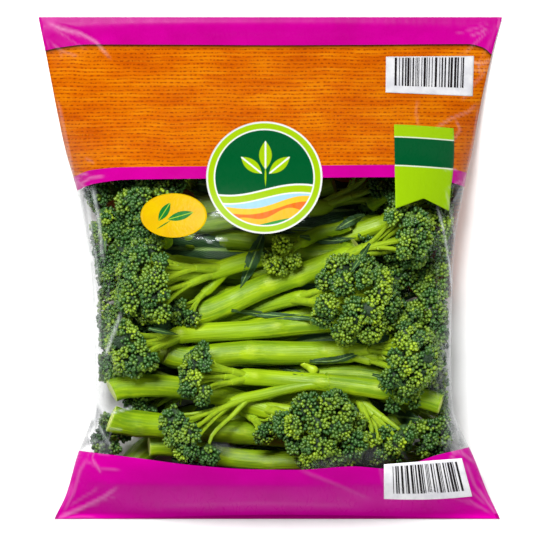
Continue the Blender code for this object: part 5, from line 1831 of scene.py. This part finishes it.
def ribbon_material():
    """Two tones of green with thin pale lines between them. y: 0 at the top, 1 at the tips."""
    m, t, shader, x, y = label_base("ribbon_ink")
    lime, green, white = ink(168, 216, 14), ink(0, 92, 46), ink(238, 248, 220)
    base = mixed(t, over(t, y, 0.138, 0.004), lime, white)
    base = mixed(t, over(t, y, 0.152, 0.004), base, green)
    base = mixed(t, over(t, y, 0.478, 0.004), base, white)
    base = mixed(t, over(t, y, 0.494, 0.004), base, lime)
    sheen_over(t, shader, base, 0.35)
    return m


def paper_material(name, share):
    m, t, shader, x, y = label_base(name)
    flow = attribute(t, "flow").outputs["Vector"]
    cloud = noise(t, scaled(t, flow, (9.0, 9.0, 0.0)), 1.0, 4.0, 0.55)
    sheen_over(t, shader, ramp(t, cloud, [(0.35, ink(228, 228, 234, share)), (0.65, ink(250, 250, 252, share))]), 0.1, 0.02)
    return m


def bar_material():
    m, t, shader, x, y = label_base("dark_bars")
    flow = attribute(t, "flow").outputs["Vector"]
    cloud = noise(t, scaled(t, flow, (20.0, 12.0, 0.0)), 1.0, 4.0, 0.55)
    sheen_over(t, shader, ramp(t, cloud, [(0.35, ink(20, 18, 20)), (0.65, ink(44, 40, 42))]), 0.1)
    return m


def quad_patch(corners, n, m):
    """A grid of plan points between four corners: top left, top right, bottom right, bottom left."""
    a, b, c, d = (np.array(p, float) for p in corners)
    s, t = np.meshgrid(np.linspace(0, 1, m), np.linspace(0, 1, n))
    s, t = s[..., None], t[..., None]
    p = (a * (1 - s) + b * s) * (1 - t) + (d * (1 - s) + c * s) * t
    return p[..., 0], p[..., 1], s[..., 0], t[..., 0]


def labels():
    made = []
    # round emblem
    soup = Soup()
    r, a = np.meshgrid(np.concatenate([[0.02], np.linspace(0.08, 1, 26)]), -np.arange(120) * 2 * math.pi / 120, indexing="ij")
    lx, ly = r * np.cos(a), r * np.sin(a)
    add_patch(soup, 264.3 + 58.2 * lx, 177.6 - 56.2 * ly, 0, 0.00035, (lx, ly), closed=True)
    middle_ring = np.arange(120)
    soup.f3.append(np.array([(0, k, k + 1) for k in range(1, 119)]))
    soup.m3.append(np.zeros(118, int))
    made.append((soup, "emblem", [emblem_material()]))
    # oval
    soup = Soup()
    r, a = np.meshgrid(np.concatenate([[0.03], np.linspace(0.12, 1, 14)]), -np.arange(72) * 2 * math.pi / 72, indexing="ij")
    lx, ly = r * np.cos(a), r * np.sin(a)
    add_patch(soup, 173.7 + 33.3 * lx, 215.4 - 22.2 * ly, 0, 0.00035, (lx, ly), closed=True)
    soup.f3.append(np.array([(0, k, k + 1) for k in range(1, 71)]))
    soup.m3.append(np.zeros(70, int))
    made.append((soup, "oval_label", [oval_material()]))
    # ribbon with a notch
    soup = Soup()
    n, m = 44, 31
    s, t = np.meshgrid(np.linspace(0, 1, m), np.linspace(0, 1, n))
    top = 124.4 + 3.8 * s ** 1.4
    foot = np.where(s < 0.52, 208.6 + (198.4 - 208.6) * s / 0.52, 198.4 + (211.2 - 198.4) * (s - 0.52) / 0.48)
    py = top + (foot - top) * t
    left = 394.0 + 1.5 * (py - 124) / 84
    right = 453.6 - 4.4 * np.clip((py - 128) / 83, 0, 1) ** 1.5 + 1.4 * np.sin(np.clip((py - 128) / 60, 0, 1) * math.pi)
    add_patch(soup, left + (right - left) * s, py, 0, 0.00035, (s, (py - top) / 84.0))
    made.append((soup, "ribbon", [ribbon_material()]))
    # two panels of upright bars
    g = np.random.default_rng(5)
    for name, corners, inner in (
        ("code_panel_top", ((386.0, 56.6), (474.0, 56.0), (472.7, 96.2), (385.6, 92.4)), (0.10, 0.93, 0.03, 0.80)),
        ("code_panel_bottom", ((383.9, 464.4), (461.8, 458.2), (472.2, 496.4), (383.9, 499.0)), (0.11, 0.93, 0.08, 0.84)),
    ):
        soup = Soup()
        px, py, s, t = quad_patch(corners, 22, 44)
        py = py + (1.8 if name.endswith("bottom") else 0.0) * np.sin(s * math.pi) * t
        add_patch(soup, px, py, 0, 0.00035)
        x = inner[0]
        cuts = []
        while x < inner[1] - 0.02:
            wide = 0.0085 * g.integers(1, 4)
            cuts.append((x, x + wide))
            x += wide + 0.0085 * g.integers(1, 4)
        for x0, x1 in cuts:
            s, t = np.meshgrid(np.linspace(x0, x1, 3), np.linspace(inner[2], inner[3], 16))
            a, b, c, d = (np.array(p) for p in corners)
            p = (a * (1 - s[..., None]) + b * s[..., None]) * (1 - t[..., None]) + (d * (1 - s[..., None]) + c * s[..., None]) * t[..., None]
            bow = (1.8 if name.endswith("bottom") else 0.0) * np.sin(s * math.pi) * t
            add_patch(soup, p[..., 0], p[..., 1] + bow, 1, 0.00050)
        made.append((soup, name, [LOW_PAPER if name.endswith("bottom") else PAPER, BARS]))
    for soup, name, mats in made:
        o = soup.make(name, mats)
        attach(o, "root")


# the lower panel sits on the bottom slope: its paper is a brighter copy, painted light that makes up for the shade
# there
PAPER, LOW_PAPER, BARS = paper_material("white_panel", 0.44), paper_material("white_panel_low_painted_light", 0.80), bar_material()
labels()
print("film triangles", FRONT.count())


# ---------------------------------------------------------------- stage
def stage():
    mesh = bpy.data.meshes.new("floor")
    w = 6.0
    mesh.from_pydata([(-w, -w, -0.0004), (w, -w, -0.0004), (w, w, -0.0004), (-w, w, -0.0004)], [], [(0, 1, 2, 3)])
    m, t, shader, out = new_material("pale_floor")
    place = node(t, "ShaderNodeTexCoord").outputs["Object"]
    fine = noise(t, place, 60.0, 3.0, 0.5)
    t.links.new(ramp(t, fine, [(0.3, (0.75, 0.75, 0.75)), (0.7, (0.775, 0.775, 0.775))]), shader.inputs["Base Color"])
    shader.inputs["Roughness"].default_value = 0.75
    shader.inputs["Specular IOR Level"].default_value = 0.15
    mesh.materials.append(m)
    o = bpy.data.objects.new("floor", mesh)
    bpy.context.scene.collection.objects.link(o)


def lamp(name, place, size, watts, aim=(0, 0, 0.03)):
    data = bpy.data.lights.new(name, "AREA")
    data.shape = "RECTANGLE"
    data.size, data.size_y = size
    data.energy = watts
    o = bpy.data.objects.new(name, data)
    bpy.context.scene.collection.objects.link(o)
    o.location = place
    o.rotation_euler = (Vector(aim) - Vector(place)).to_track_quat("-Z", "Y").to_euler()
    return o


def lights():
    world = bpy.data.worlds.new("soft_room")
    bpy.context.scene.world = world
    world.use_nodes = True
    bg = world.node_tree.nodes["Background"]
    bg.inputs["Color"].default_value = (1, 1, 1, 1)
    bg.inputs["Strength"].default_value = 0.17
    lamp("key", (-0.25, 0.62, 1.35), (0.58, 0.38), 42.0)
    for name, place, size, watts in (("left", (-1.25, 0.05, 0.75), (0.5, 0.9), 6.0),
                                     ("right", (1.25, 0.10, 0.80), (0.5, 0.9), 6.0),
                                     ("front", (0.2, -1.25, 0.95), (0.9, 0.4), 10.0)):
        lamp(name, place, size, watts).visible_glossy = False


def camera():
    data = bpy.data.cameras.new("camera")
    data.sensor_width = 36.0
    data.lens = 36.0 * EYE / 0.33
    data.clip_start, data.clip_end = 0.05, 20.0
    o = bpy.data.objects.new("camera", data)
    bpy.context.scene.collection.objects.link(o)
    o.location = ((275 - PLAN_X) * GRID, (PLAN_Y - 275) * GRID, EYE)
    bpy.context.scene.camera = o


stage()
lights()
camera()
bpy.context.scene.view_settings.view_transform = "Standard"
bpy.context.scene.view_settings.look = "None"
